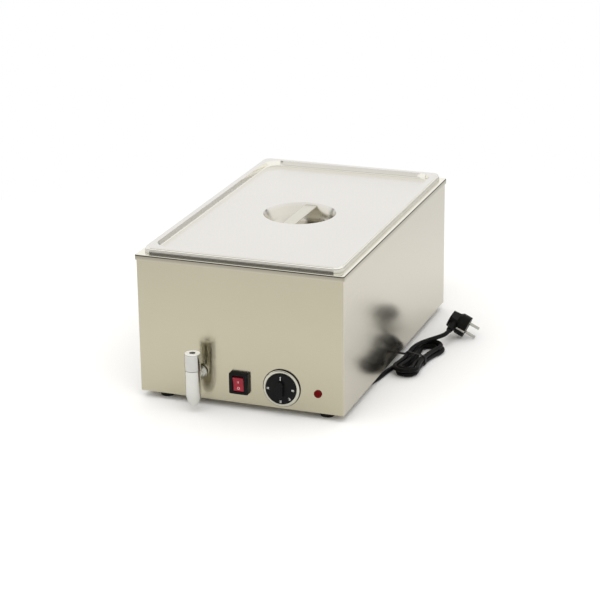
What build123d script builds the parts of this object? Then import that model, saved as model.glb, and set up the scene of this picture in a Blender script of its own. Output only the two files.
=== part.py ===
from build123d import *
import math
import os

os.makedirs("parts", exist_ok=True)

# Driving dimensions, in millimetres

# Sheet metal
sheet = 1.0
bend_radius = 2.0
pan_sheet = 0.8

# Casing and base
side_space = 11.2
end_space = 9.7
under_space = 66.7
turn_in = 12.0
base_margin = 4.0
base_screw_inset = 6.5
base_screw_pitch = 180.0

# Feet
foot_height = 11.0
foot_radius = 12.5
foot_tip_radius = 11.0
foot_inset_x = 35.0
foot_inset_y = 25.0
foot_recess_radius = 5.0
foot_recess_depth = 5.0

# Fasteners of 4 mm thread
bolt_radius = 2.0
head_radius = 3.6
head_height = 2.2
nut_flat = 3.5
nut_height = 3.2
hole_clearance = 0.2
thread_end = 1.5

# Tank
lip_height = 8.5
lip_gap = 1.2
tank_gap = 4.5
water_gap = 13.75
tank_floor_radius = 18.0

# Pan
pan_width = 325.0
pan_length = 530.0
pan_corner = 14.0
pan_rim = 11.0
pan_rim_height = 5.75
pan_mouth_corner = 28.0
pan_depth = 150.0
pan_draft = 3.0
pan_floor_radius = 16.0
pan_rim_bend = 2.6
pan_shift = 3.7
seat_gap = 0.2

# Lid
lid_margin = 1.6
lid_rim_height = 3.55
lid_rim_bend = 2.4
lid_well_gap = 1.2
lid_well_depth = 8.5
lid_well_draft = 13.0
lid_well_radius = 2.0
recess_radius = 59.5
recess_depth = 26.0
recess_floor_radius = 43.0
recess_floor_bend = 14.0
strap_width = 20.0
strap_thickness = 1.5
strap_drop = 3.0

# Controls on the front panel
control_height = 34.0
switch_x = -0.5
knob_x = 68.8
lamp_inset = 41.4
lamp_drop = 2.4

# Rocker switch
switch_frame_width = 31.0
switch_frame_height = 34.5
switch_frame_depth = 8.0
switch_body_width = 27.0
switch_body_height = 31.0
switch_body_depth = 24.0
switch_edge = 1.2
switch_corner = 2.0
rocker_width = 17.4
rocker_height = 23.2
rocker_root_height = 17.0
rocker_proud = 0.5
rocker_dish = 1.6
rocker_depth = 5.0
rocker_gap = 0.5
rocker_swing = 16.0
rocker_edge = 0.6
rocker_pivot_out = 1.0
rocker_pin_radius = 1.5
rocker_pin_seat = 3.0
running_gap = 0.05
blade_width = 6.3
blade_thickness = 0.8
blade_length = 9.0
switch_blade_x = 7.0
switch_blade_z = 8.0

# Thermostat and knob
thermostat_width = 40.0
thermostat_height = 36.0
thermostat_depth = 30.0
thermostat_screw_pitch = 28.0
thermostat_screw_depth = 6.0
thermostat_blade_x = 10.0
thermostat_blade_drop = 8.0
spindle_radius = 3.0
spindle_flat = 2.3
spindle_depth = 12.0
spindle_hole = 5.0
spindle_end_gap = 0.5
knob_radius = 25.0
knob_face = 7.0
knob_back = 3.0
knob_edge = 1.2
knob_grip_width = 10.0
knob_grip_length = 27.0
knob_grip_height = 5.0
knob_wall = 3.0
dial_ring_radius = 30.8
dial_ring_height = 4.0
dial_ring_gap = 0.5
dial_ring_edge = 1.0
dial_ring_bulge = 0.8

# Pilot lamp
lens_radius = 6.25
lens_rim = 1.5
lens_height = 4.0
lamp_barrel_radius = 5.0
lamp_barrel_wall = 0.8
lamp_stem_length = 8.0
lamp_depth = 24.0
lamp_nut_flat = 7.0
lamp_nut_height = 3.0

# Tap
tap_x = -66.0
tap_height = 44.0
tap_axis_out = 30.0
washer_radius = 12.0
washer_thickness = 2.0
collar_radius = 9.0
collar_length = 10.0
tap_flange = 3.0
neck_radius = 6.8
shank_radius = 6.5
shank_length = 28.0
locknut_flat = 11.0
locknut_height = 5.0
water_radius = 4.0
barrel_radius = 12.2
spout_radius = 6.0
spout_end = 0.5
barrel_foot = 22.0
barrel_top = 58.0
plug_cock_radius = 6.0
plug_cock_bottom = 34.0
bonnet_height = 5.0
bonnet_radius = 8.0
stem_radius = 4.0
stem_length = 18.0
stem_square = 5.6
port_radius = 3.2
o_ring_section = 0.9
o_ring_height = 50.0
hub_radius = 12.5
hub_bottom = 58.8
hub_height = 27.2
hub_edge = 1.4
handle_screw_recess = 4.8
handle_screw_depth = 6.0
handle_screw_grip = 8.0

# Drain
drain_out = 78.0
elbow_radius = 15.0
hose_wall = 2.5
hose_start = 14.0
hose_length = 32.0
hose_gap = 4.0
clamp_band = 6.0
clamp_thickness = 1.0
clamp_inset = 3.0

# Heating element
element_radius = 4.0
element_half_width = 110.0
element_front = 155.0
element_rear = 450.0
element_bend = 24.0
element_leg = 22.0
element_leg_length = 50.0
element_pin_radius = 2.0
element_pin_length = 14.0
clamp_bar_length = 44.0
clamp_bar_width = 14.0
clamp_bar_thickness = 2.0
clamp_bar_pitch = 200.0
clamp_stud_pitch = 26.0

# Cut-out and bulb
cutout_y = 300.0
cutout_radius = 8.0
cutout_height = 11.0
cutout_flange_length = 36.0
cutout_flange_width = 14.0
cutout_stud_pitch = 26.0
cutout_blade_x = 4.5
bulb_radius = 3.0
bulb_length = 70.0
bulb_y = 230.0
capillary_radius = 1.0
capillary_reach = 16.0
capillary_drop = 12.0
capillary_rise = 8.0
capillary_bend = 7.0
bulb_clip_width = 12.0
bulb_clip_foot = 14.0

# Mains entry
pocket_inset = 29.0
pocket_width = 30.0
pocket_front = 44.0
pocket_length = 96.0
pocket_height = 22.0
cord_radius = 3.6
boot_height = 8.5
boot_flange_radius = 8.0
boot_flange = 2.5
boot_neck_radius = 6.0
boot_length = 30.0
boot_root_radius = 6.8
boot_tip_radius = 4.8
inner_cord_length = 12.0
cord_clamp_width = 22.0
cord_clamp_length = 8.0
cord_clamp_wall = 3.0
block_aside = 42.0
block_out = 44.0
block_width = 36.0
block_length = 20.0
block_height = 15.0
block_way_pitch = 11.0
block_way_radius = 2.2
block_screw_radius = 2.0
block_screw_length = 6.0
earth_aside = 36.0
earth_out = 80.0
earth_screw_length = 12.0

# Mains cord: hank with its waist, lobes and steps, then the tie, the plug and the runs between them
hank_x = 203.0
hank_y = 17.2
hank_heading = 86.0
hank_loops = 3
hank_layer = 8.0
hank_rear = 84.0
hank_front = 65.0
hank_waist = 15.4
hank_rear_lobe = 32.5
hank_front_lobe = 27.0
hank_tip_step = 7.9
hank_waist_step = 8.0
hank_lobe_step = 11.0
hank_join = (8.0, 24.0)
hank_end_rise = 3.7
hank_end_slope = 0.14
gap_samples = 700
arc_share = 0.45
lead_first_run = 14.05
lead_last_run = 12.0
tail_first_run = 10.0
tail_last_run = 9.0
tie_floor_gap = 0.2
tie_thickness = 0.6
tie_gap = 0.6
tie_width = 5.0
tie_end_length = 17.0
tie_end_width = 4.0
tie_end_thickness = 1.2
tie_end_tilt = 20.0

# Plug
plug_x = 248.6
plug_y = 159.7
plug_z = 19.4
plug_tilt = 25.0
plug_roll = 9.0
plug_radius = 18.5
plug_head = 15.0
plug_step = 4.0
plug_neck_radius = 16.0
plug_rear_radius = 14.5
plug_flat = 10.5
plug_depth = 33.0
plug_pin_radius = 2.4
plug_pin_length = 19.0
plug_pin_pitch = 19.0
plug_pin_root = 9.0
plug_pin_tip = 1.2
earth_slot_depth = 2.4
earth_slot_width = 5.0
earth_slot_length = 16.0
earth_clip_thickness = 1.0
sleeve_back = 22.0
sleeve_start = 13.0
sleeve_end = 34.0
sleeve_root_radius = 7.6
sleeve_tip_radius = 4.9

# Levels and places that follow from them
pan_mouth_width = pan_width - 2 * pan_rim
pan_mouth_length = pan_length - 2 * pan_rim
tank_width = pan_mouth_width + 2 * (pan_sheet + tank_gap)
tank_length = pan_mouth_length + 2 * (pan_sheet + tank_gap)
tank_corner = pan_mouth_corner + pan_sheet + tank_gap
tank_depth = pan_depth - pan_rim_height + water_gap
casing_width = tank_width + 2 * (sheet + side_space)
casing_depth = tank_length + 2 * (sheet + end_space)
casing_height = under_space + tank_depth
base_top = foot_height + sheet
casing_top = base_top + casing_height
flange_top = casing_top + sheet
tank_floor = flange_top - tank_depth
tank_under = tank_floor - sheet
pan_seat = flange_top + seat_gap
pan_top = flange_top + pan_rim_height
lid_seat = pan_top + seat_gap
lid_top = pan_top + lid_rim_height
lid_floor = lid_top - lid_well_depth
control_z = base_top + control_height
capillary_z = control_z + capillary_rise
tap_z = base_top + tap_height
tap_reach = tap_axis_out + hub_radius
overhang = lip_gap + sheet
centre_y = (tap_reach - overhang) / 2
front_y = centre_y - casing_depth / 2
tap_y = front_y - tap_axis_out
pan_y = centre_y + pan_shift
lamp_x = casing_width / 2 - lamp_inset
lamp_z = control_z - lamp_drop
pocket_x = casing_width / 2 - pocket_inset
block_x = pocket_x - block_aside
earth_x = pocket_x - earth_aside
lid_width = pan_width - 2 * lid_margin
lid_length = pan_length - 2 * lid_margin
lid_corner = pan_corner - lid_margin
lid_well_width = pan_mouth_width - 2 * lid_well_gap
lid_well_length = pan_mouth_length - 2 * lid_well_gap
lid_well_corner = pan_mouth_corner - lid_well_gap
low = (Align.CENTER, Align.CENTER, Align.MIN)
high = (Align.CENTER, Align.CENTER, Align.MAX)


def panel(depth):
    """Plane of the front panel, moved back into the casing; its x and y are X and Z, its normal -Y."""
    return Plane((0, front_y + depth, 0), x_dir=(1, 0, 0), z_dir=(0, -1, 0))


def level(height, y=centre_y):
    """Level plane centred on the casing, facing up."""
    return Plane((0, y, height), x_dir=(1, 0, 0), z_dir=(0, 0, 1))


def drop(height, y=centre_y):
    """Level plane centred on the casing, facing down."""
    return Plane((0, y, height), x_dir=(1, 0, 0), z_dir=(0, 0, -1))


# Casing: folded box, turned in at the bottom, with the openings of the front panel
base_screw_x = casing_width / 2 - base_screw_inset
base_screw_points = [
    (side * base_screw_x, centre_y + row * base_screw_pitch, base_top)
    for side in (-1, 1)
    for row in (-1, 0, 1)
]
with BuildPart() as casing:
    with BuildSketch(level(base_top)):
        RectangleRounded(casing_width, casing_depth, bend_radius)
    extrude(amount=casing_height)
    with BuildSketch(level(base_top + sheet)):
        RectangleRounded(casing_width - 2 * sheet, casing_depth - 2 * sheet, bend_radius - sheet)
    extrude(amount=casing_height, mode=Mode.SUBTRACT)
    with BuildSketch(level(base_top)):
        Rectangle(casing_width - 2 * turn_in, casing_depth - 2 * turn_in)
    extrude(amount=sheet, mode=Mode.SUBTRACT)
    with BuildSketch(panel(0)):
        with Locations((tap_x, tap_z)):
            Circle(shank_radius + hole_clearance)
        with Locations((switch_x, control_z)):
            Rectangle(switch_body_width, switch_body_height)
        with Locations((knob_x, control_z)):
            Circle(spindle_hole)
            with GridLocations(thermostat_screw_pitch, 0, 2, 1):
                Circle(bolt_radius + hole_clearance)
        with Locations((lamp_x, lamp_z)):
            Circle(lamp_barrel_radius)
    extrude(amount=-sheet, mode=Mode.SUBTRACT)
    with Locations(*base_screw_points):
        Cylinder(bolt_radius, sheet, align=low, mode=Mode.SUBTRACT)
casing.part.label = "casing"
export_step(casing.part, "parts/casing.step")

# Base plate with the pocket that the mains cord leaves from
foot_x = casing_width / 2 - foot_inset_x
foot_y = casing_depth / 2 - foot_inset_y
pocket_y = front_y + pocket_front + pocket_length / 2
boot_z = base_top + boot_height
block_y = front_y + block_out
earth_y = front_y + earth_out
with BuildPart() as base_plate:
    with BuildSketch(level(foot_height)):
        RectangleRounded(casing_width - 2 * base_margin, casing_depth - 2 * base_margin, bend_radius)
    extrude(amount=sheet)
    with Locations((pocket_x, pocket_y, foot_height)):
        Box(pocket_width + 2 * sheet, pocket_length + 2 * sheet, pocket_height + sheet, align=low)
        Box(pocket_width, pocket_length, pocket_height, align=low, mode=Mode.SUBTRACT)
    with Locations(Location((pocket_x, front_y + pocket_front, boot_z), (90, 0, 0))):
        Cylinder(boot_neck_radius, 4 * sheet, mode=Mode.SUBTRACT)
    with Locations(*[(x, y, foot_height) for x, y, z in base_screw_points]):
        Cylinder(bolt_radius + hole_clearance, sheet, align=low, mode=Mode.SUBTRACT)
    with Locations((0, centre_y, foot_height)):
        with GridLocations(2 * foot_x, 2 * foot_y, 2, 2):
            Cylinder(bolt_radius + hole_clearance, sheet, align=low, mode=Mode.SUBTRACT)
    with Locations((earth_x, earth_y, foot_height)):
        Cylinder(bolt_radius, sheet, align=low, mode=Mode.SUBTRACT)
base_plate.part.label = "base_plate"
export_step(base_plate.part, "parts/base_plate.step")

with BuildPart() as base_screws:
    with Locations(*[(x, y, foot_height) for x, y, z in base_screw_points]):
        Cylinder(head_radius, head_height, align=high)
        Cylinder(bolt_radius, 2 * sheet + thread_end, align=low)
base_screws.part.label = "base_screws"
export_step(base_screws.part, "parts/base_screws.step")

# Feet, each with its screw from below and its nut on the base plate
foot_places = {
    "front_left": (-foot_x, centre_y - foot_y),
    "front_right": (foot_x, centre_y - foot_y),
    "rear_left": (-foot_x, centre_y + foot_y),
    "rear_right": (foot_x, centre_y + foot_y),
}
for corner, (x, y) in foot_places.items():
    with BuildPart() as foot:
        with Locations((x, y, 0)):
            Cone(foot_tip_radius, foot_radius, foot_height, align=low)
            Cylinder(foot_recess_radius, foot_recess_depth, align=low, mode=Mode.SUBTRACT)
            Cylinder(bolt_radius, foot_height, align=low, mode=Mode.SUBTRACT)
    foot.part.label = f"foot_{corner}"
    export_step(foot.part, f"parts/foot_{corner}.step")

foot_screw_length = foot_height - foot_recess_depth + sheet + nut_height + thread_end
with BuildPart() as foot_screws:
    with Locations(*[(x, y, foot_recess_depth) for x, y in foot_places.values()]):
        Cylinder(head_radius, head_height, align=high)
        Cylinder(bolt_radius, foot_screw_length, align=low)
foot_screws.part.label = "foot_screws"
export_step(foot_screws.part, "parts/foot_screws.step")

with BuildPart() as foot_nuts:
    with BuildSketch(Plane.XY.offset(base_top)):
        with Locations(*foot_places.values()):
            RegularPolygon(nut_flat, 6, major_radius=False)
            Circle(bolt_radius, mode=Mode.SUBTRACT)
    extrude(amount=nut_height)
foot_nuts.part.label = "foot_nuts"
export_step(foot_nuts.part, "parts/foot_nuts.step")

# Tank: one drawn piece with its flange over the casing and its lip round it
drain_y = front_y + drain_out
with BuildPart() as tank_hollow:
    with BuildSketch(drop(flange_top)):
        RectangleRounded(tank_width, tank_length, tank_corner)
    extrude(amount=tank_depth)
    fillet(tank_hollow.edges().group_by(Axis.Z)[0], tank_floor_radius)

with BuildPart() as lip_hollow:
    with BuildSketch(level(flange_top - lip_height)):
        RectangleRounded(casing_width + 2 * lip_gap, casing_depth + 2 * lip_gap, bend_radius + lip_gap)
    extrude(amount=lip_height - sheet)
    fillet(lip_hollow.edges().group_by(Axis.Z)[-1], lip_gap)

with BuildPart() as tank:
    with BuildSketch(level(flange_top - lip_height)):
        RectangleRounded(casing_width + 2 * overhang, casing_depth + 2 * overhang, bend_radius + overhang)
    extrude(amount=lip_height)
    fillet(tank.edges().group_by(Axis.Z)[-1], overhang)
    add(lip_hollow.part, mode=Mode.SUBTRACT)
    with BuildSketch(drop(casing_top)):
        RectangleRounded(tank_width + 2 * sheet, tank_length + 2 * sheet, tank_corner + sheet)
    extrude(amount=tank_depth)
    fillet(tank.edges().group_by(Axis.Z)[0], tank_floor_radius + sheet)
    add(tank_hollow.part, mode=Mode.SUBTRACT)
    with Locations((tap_x, drain_y, tank_under)):
        Cylinder(shank_radius, sheet, align=low, mode=Mode.SUBTRACT)
tank.part.label = "tank"
export_step(tank.part, "parts/tank.step")

# Pan: rim with a turned-down edge, and a drafted tub
with BuildPart() as pan_hollow:
    with BuildSketch(drop(pan_top, pan_y)):
        RectangleRounded(pan_mouth_width, pan_mouth_length, pan_mouth_corner)
    extrude(amount=pan_depth - pan_sheet, taper=pan_draft)
    fillet(pan_hollow.edges().group_by(Axis.Z)[0], pan_floor_radius)

with BuildPart() as pan_rim_hollow:
    with BuildSketch(level(pan_seat, pan_y)):
        RectangleRounded(pan_width - 2 * pan_sheet, pan_length - 2 * pan_sheet, pan_corner - pan_sheet)
    extrude(amount=pan_top - pan_seat - pan_sheet)
    fillet(pan_rim_hollow.edges().group_by(Axis.Z)[-1], pan_rim_bend - pan_sheet)

with BuildPart() as pan:
    with BuildSketch(level(pan_seat, pan_y)):
        RectangleRounded(pan_width, pan_length, pan_corner)
    extrude(amount=pan_top - pan_seat)
    fillet(pan.edges().group_by(Axis.Z)[-1], pan_rim_bend)
    add(pan_rim_hollow.part, mode=Mode.SUBTRACT)
    with BuildSketch(drop(pan_top - pan_sheet, pan_y)):
        RectangleRounded(
            pan_mouth_width + 2 * pan_sheet, pan_mouth_length + 2 * pan_sheet, pan_mouth_corner + pan_sheet
        )
    extrude(amount=pan_depth - pan_sheet, taper=pan_draft)
    fillet(pan.edges().group_by(Axis.Z)[0], pan_floor_radius + pan_sheet)
    add(pan_hollow.part, mode=Mode.SUBTRACT)
pan.part.label = "pan"
export_step(pan.part, "parts/pan.step")

# Lid: flat rim, sunken middle and a round finger recess
recess_outer = recess_radius + pan_sheet


def recess_profile(mouth, floor, depth, bend, height):
    """Half section of the recess, from the axis out to its mouth, on a plane whose x and y are X and Z."""
    with BuildSketch(Plane((0, pan_y, height), x_dir=(1, 0, 0), z_dir=(0, -1, 0))) as section:
        with BuildLine():
            FilletPolyline((0, -depth), (floor, -depth), (mouth, 0), radius=bend)
            Polyline((mouth, 0), (0, 0), (0, -depth))
        make_face()
    return section.sketch


recess_axis = Axis((0, pan_y, 0), (0, 0, 1))
recess_hollow = recess_profile(
    recess_radius, recess_floor_radius, recess_depth, recess_floor_bend, lid_floor
)
recess_skin = recess_profile(
    recess_outer,
    recess_floor_radius + pan_sheet / 2,
    recess_depth,
    recess_floor_bend + pan_sheet,
    lid_floor - pan_sheet,
)
with BuildPart() as lid_well:
    with BuildSketch(drop(lid_top, pan_y)):
        RectangleRounded(lid_well_width, lid_well_length, lid_well_corner)
    extrude(amount=lid_well_depth, taper=lid_well_draft)
    fillet(lid_well.edges().group_by(Axis.Z)[0], lid_well_radius)

with BuildPart() as lid_rim_hollow:
    with BuildSketch(level(lid_seat, pan_y)):
        RectangleRounded(lid_width - 2 * pan_sheet, lid_length - 2 * pan_sheet, lid_corner - pan_sheet)
    extrude(amount=lid_top - lid_seat - pan_sheet)
    fillet(lid_rim_hollow.edges().group_by(Axis.Z)[-1], lid_rim_bend - pan_sheet)

with BuildPart() as lid:
    with BuildSketch(level(lid_seat, pan_y)):
        RectangleRounded(lid_width, lid_length, lid_corner)
    extrude(amount=lid_top - lid_seat)
    fillet(lid.edges().group_by(Axis.Z)[-1], lid_rim_bend)
    add(lid_rim_hollow.part, mode=Mode.SUBTRACT)
    with BuildSketch(drop(lid_top - pan_sheet, pan_y)):
        RectangleRounded(
            lid_well_width + 2 * pan_sheet, lid_well_length + 2 * pan_sheet, lid_well_corner + pan_sheet
        )
    extrude(amount=lid_well_depth, taper=lid_well_draft)
    fillet(lid.edges().group_by(Axis.Z)[0], lid_well_radius + pan_sheet)
    revolve(recess_skin, axis=recess_axis)
    add(lid_well.part, mode=Mode.SUBTRACT)
    revolve(recess_hollow, axis=recess_axis, mode=Mode.SUBTRACT)
lid.part.label = "lid"
export_step(lid.part, "parts/lid.step")

with BuildPart() as lid_handle:
    revolve(recess_hollow, axis=recess_axis)
    with Locations((0, pan_y, lid_floor - strap_drop)):
        Box(strap_width, 2 * recess_radius, strap_thickness, align=high, mode=Mode.INTERSECT)
lid_handle.part.label = "lid_handle"
export_step(lid_handle.part, "parts/lid_handle.step")

# Rocker switch: housing with its raised frame, rocker on a pin, and four blades
rocker_tilt = math.radians(rocker_swing / 2)
rocker_out = switch_frame_depth + rocker_proud - rocker_pivot_out
rocker_root = rocker_depth + rocker_pivot_out
switch_window_width = rocker_width + 2 * rocker_gap
switch_window_height = rocker_height + 2 * (rocker_out * math.sin(rocker_tilt) + rocker_gap)
switch_window_depth = rocker_depth + rocker_root_height / 2 * math.sin(rocker_tilt) + rocker_gap
switch_pivot = (switch_x, front_y - rocker_pivot_out, control_z)
along_x = (0, 90, 0)
with BuildPart() as switch_housing:
    with BuildSketch(panel(0)):
        with Locations((switch_x, control_z)):
            RectangleRounded(switch_frame_width, switch_frame_height, switch_corner)
    extrude(amount=switch_frame_depth)
    fillet(switch_housing.faces().sort_by(Axis.Y)[0].edges(), switch_edge)
    with BuildSketch(panel(0)):
        with Locations((switch_x, control_z)):
            Rectangle(switch_body_width, switch_body_height)
    extrude(amount=-switch_body_depth)
    with BuildSketch(panel(switch_window_depth)):
        with Locations((switch_x, control_z)):
            Rectangle(switch_window_width, switch_window_height)
    extrude(amount=switch_window_depth + switch_frame_depth, mode=Mode.SUBTRACT)
    with Locations(Location(switch_pivot, along_x)):
        Cylinder(rocker_pin_radius, switch_window_width + 2 * rocker_pin_seat, mode=Mode.SUBTRACT)
switch_housing.part.label = "switch_housing"
export_step(switch_housing.part, "parts/switch_housing.step")

# The rocker rests with its lower half pressed in; its sketch plane has x pointing out and y down
rocker_plane = Plane(
    switch_pivot, x_dir=(0, -math.cos(rocker_tilt), -math.sin(rocker_tilt)), z_dir=(1, 0, 0)
)
with BuildPart() as switch_rocker:
    with BuildSketch(rocker_plane):
        with BuildLine():
            face_top = (rocker_out, -rocker_height / 2)
            face_low = (rocker_out, rocker_height / 2)
            ThreePointArc(face_top, (rocker_out - rocker_dish, 0), face_low)
            root_low = (-rocker_root, rocker_root_height / 2)
            root_top = (-rocker_root, -rocker_root_height / 2)
            Polyline(face_low, root_low, root_top, face_top)
        make_face()
        Circle(rocker_pin_radius + running_gap, mode=Mode.SUBTRACT)
    extrude(amount=rocker_width / 2, both=True)
    fillet(switch_rocker.faces().sort_by(Axis.Y)[0].edges(), rocker_edge)
switch_rocker.part.label = "switch_rocker"
export_step(switch_rocker.part, "parts/switch_rocker.step")

with BuildPart() as switch_pin:
    with Locations(Location(switch_pivot, along_x)):
        Cylinder(rocker_pin_radius, switch_window_width + 2 * rocker_pin_seat)
switch_pin.part.label = "switch_pin"
export_step(switch_pin.part, "parts/switch_pin.step")

with BuildPart() as switch_terminals:
    with BuildSketch(panel(switch_body_depth)):
        with Locations((switch_x, control_z)):
            with GridLocations(2 * switch_blade_x, 2 * switch_blade_z, 2, 2):
                Rectangle(blade_width, blade_thickness)
    extrude(amount=-blade_length)
switch_terminals.part.label = "switch_terminals"
export_step(switch_terminals.part, "parts/switch_terminals.step")

# Thermostat behind the panel, with its turning spindle and its two screws
with BuildPart() as thermostat_body:
    with BuildSketch(panel(sheet)):
        with Locations((knob_x, control_z)):
            RectangleRounded(thermostat_width, thermostat_height, bend_radius)
    extrude(amount=-thermostat_depth)
    with BuildSketch(panel(sheet)):
        with Locations((knob_x, control_z)):
            Circle(spindle_radius + running_gap)
    extrude(amount=-spindle_depth, mode=Mode.SUBTRACT)
    with BuildSketch(panel(sheet)):
        with Locations((knob_x, control_z)):
            with GridLocations(thermostat_screw_pitch, 0, 2, 1):
                Circle(bolt_radius)
    extrude(amount=-thermostat_screw_depth, mode=Mode.SUBTRACT)
thermostat_body.part.label = "thermostat_body"
export_step(thermostat_body.part, "parts/thermostat_body.step")

thermostat_rear = sheet + thermostat_depth
with BuildPart() as thermostat_terminals:
    with BuildSketch(panel(thermostat_rear)):
        with Locations((knob_x, control_z - thermostat_blade_drop)):
            with GridLocations(2 * thermostat_blade_x, 0, 2, 1):
                Rectangle(blade_width, blade_thickness)
    extrude(amount=-blade_length)
thermostat_terminals.part.label = "thermostat_terminals"
export_step(thermostat_terminals.part, "parts/thermostat_terminals.step")

with BuildPart() as thermostat_screws:
    with BuildSketch(panel(0)):
        with Locations((knob_x, control_z)):
            with GridLocations(thermostat_screw_pitch, 0, 2, 1):
                Circle(head_radius)
    extrude(amount=head_height)
    with BuildSketch(panel(0)):
        with Locations((knob_x, control_z)):
            with GridLocations(thermostat_screw_pitch, 0, 2, 1):
                Circle(bolt_radius)
    extrude(amount=-(sheet + thermostat_screw_depth))
thermostat_screws.part.label = "thermostat_screws"
export_step(thermostat_screws.part, "parts/thermostat_screws.step")

spindle_front = knob_face + knob_grip_height - knob_wall
flat_corner = (Align.CENTER, Align.MIN)
with BuildPart() as thermostat_spindle:
    with BuildSketch(panel(-spindle_front)):
        with Locations((knob_x, control_z)):
            Circle(spindle_radius)
    extrude(amount=-(spindle_front + sheet + spindle_depth - spindle_end_gap))
    with BuildSketch(panel(-spindle_front)):
        with Locations((knob_x, control_z + spindle_flat)):
            Rectangle(2 * spindle_radius, spindle_radius, align=flat_corner)
    extrude(amount=-(spindle_front - knob_back), mode=Mode.SUBTRACT)
thermostat_spindle.part.label = "thermostat_spindle"
export_step(thermostat_spindle.part, "parts/thermostat_spindle.step")

# Knob: flat disc with a raised grip, on the flat of the spindle
with BuildPart() as knob:
    with BuildSketch(panel(-knob_back)):
        with Locations((knob_x, control_z)):
            Circle(knob_radius)
    extrude(amount=knob_face - knob_back)
    fillet(knob.faces().sort_by(Axis.Y)[0].edges(), knob_edge)
    with BuildSketch(panel(-knob_face)):
        with Locations((knob_x, control_z)):
            SlotOverall(knob_grip_length, knob_grip_width, rotation=90)
    extrude(amount=knob_grip_height)
    fillet(knob.faces().sort_by(Axis.Y)[0].edges(), knob_edge)
    with BuildSketch(panel(-knob_back)):
        with Locations((knob_x, control_z)):
            Circle(spindle_radius)
        with Locations((knob_x, control_z + spindle_flat)):
            Rectangle(2 * spindle_radius, spindle_radius, align=flat_corner, mode=Mode.SUBTRACT)
    extrude(amount=spindle_front - knob_back, mode=Mode.SUBTRACT)
knob.part.label = "knob"
export_step(knob.part, "parts/knob.step")

# Chromed ring round the knob; its half section has x along the radius and y into the casing
dial_ring_bore = knob_radius + dial_ring_gap
dial_plane = Plane((knob_x, front_y, control_z), x_dir=(1, 0, 0), z_dir=(0, 0, 1))
with BuildPart() as dial_ring:
    with BuildSketch(dial_plane):
        with BuildLine():
            crest = (dial_ring_bore + dial_ring_edge, -dial_ring_height)
            brim = (dial_ring_radius, -dial_ring_edge)
            halfway = ((crest[0] + brim[0]) / 2, (crest[1] + brim[1]) / 2)
            shoulder = (halfway[0] + dial_ring_bulge, halfway[1] - dial_ring_bulge)
            ThreePointArc(crest, shoulder, brim)
            ring_back = [(dial_ring_radius, 0), (dial_ring_bore, 0), (dial_ring_bore, -dial_ring_height)]
            Polyline(brim, *ring_back, crest)
        make_face()
    revolve(axis=Axis((knob_x, front_y, control_z), (0, 1, 0)))
dial_ring.part.label = "dial_ring"
export_step(dial_ring.part, "parts/dial_ring.step")

# Pilot lamp: domed lens, holder through the panel, and nut
lamp_axis = Axis((lamp_x, front_y, lamp_z), (0, 1, 0))
lens_stem_radius = lamp_barrel_radius - lamp_barrel_wall
with BuildPart() as lamp_lens:
    with BuildSketch(Plane((lamp_x, front_y, lamp_z), x_dir=(1, 0, 0), z_dir=(0, 0, 1))):
        with BuildLine():
            dome_top = (0, -lens_height)
            dome_rim = (lens_radius, -lens_rim)
            TangentArc(dome_top, dome_rim, tangent=(1, 0))
            Polyline(
                dome_rim,
                (lens_radius, 0),
                (lens_stem_radius, 0),
                (lens_stem_radius, lamp_stem_length),
                (0, lamp_stem_length),
                dome_top,
            )
        make_face()
    revolve(axis=lamp_axis)
lamp_lens.part.label = "lamp_lens"
export_step(lamp_lens.part, "parts/lamp_lens.step")

with BuildPart() as lamp_holder:
    with BuildSketch(panel(0)):
        with Locations((lamp_x, lamp_z)):
            Circle(lamp_barrel_radius)
    extrude(amount=-lamp_depth)
    with BuildSketch(panel(0)):
        with Locations((lamp_x, lamp_z)):
            Circle(lens_stem_radius)
    extrude(amount=-lamp_stem_length, mode=Mode.SUBTRACT)
lamp_holder.part.label = "lamp_holder"
export_step(lamp_holder.part, "parts/lamp_holder.step")

with BuildPart() as lamp_nut:
    with BuildSketch(panel(sheet)):
        with Locations((lamp_x, lamp_z)):
            RegularPolygon(lamp_nut_flat, 6, major_radius=False)
            Circle(lamp_barrel_radius, mode=Mode.SUBTRACT)
    extrude(amount=-lamp_nut_height)
lamp_nut.part.label = "lamp_nut"
export_step(lamp_nut.part, "parts/lamp_nut.step")

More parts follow.
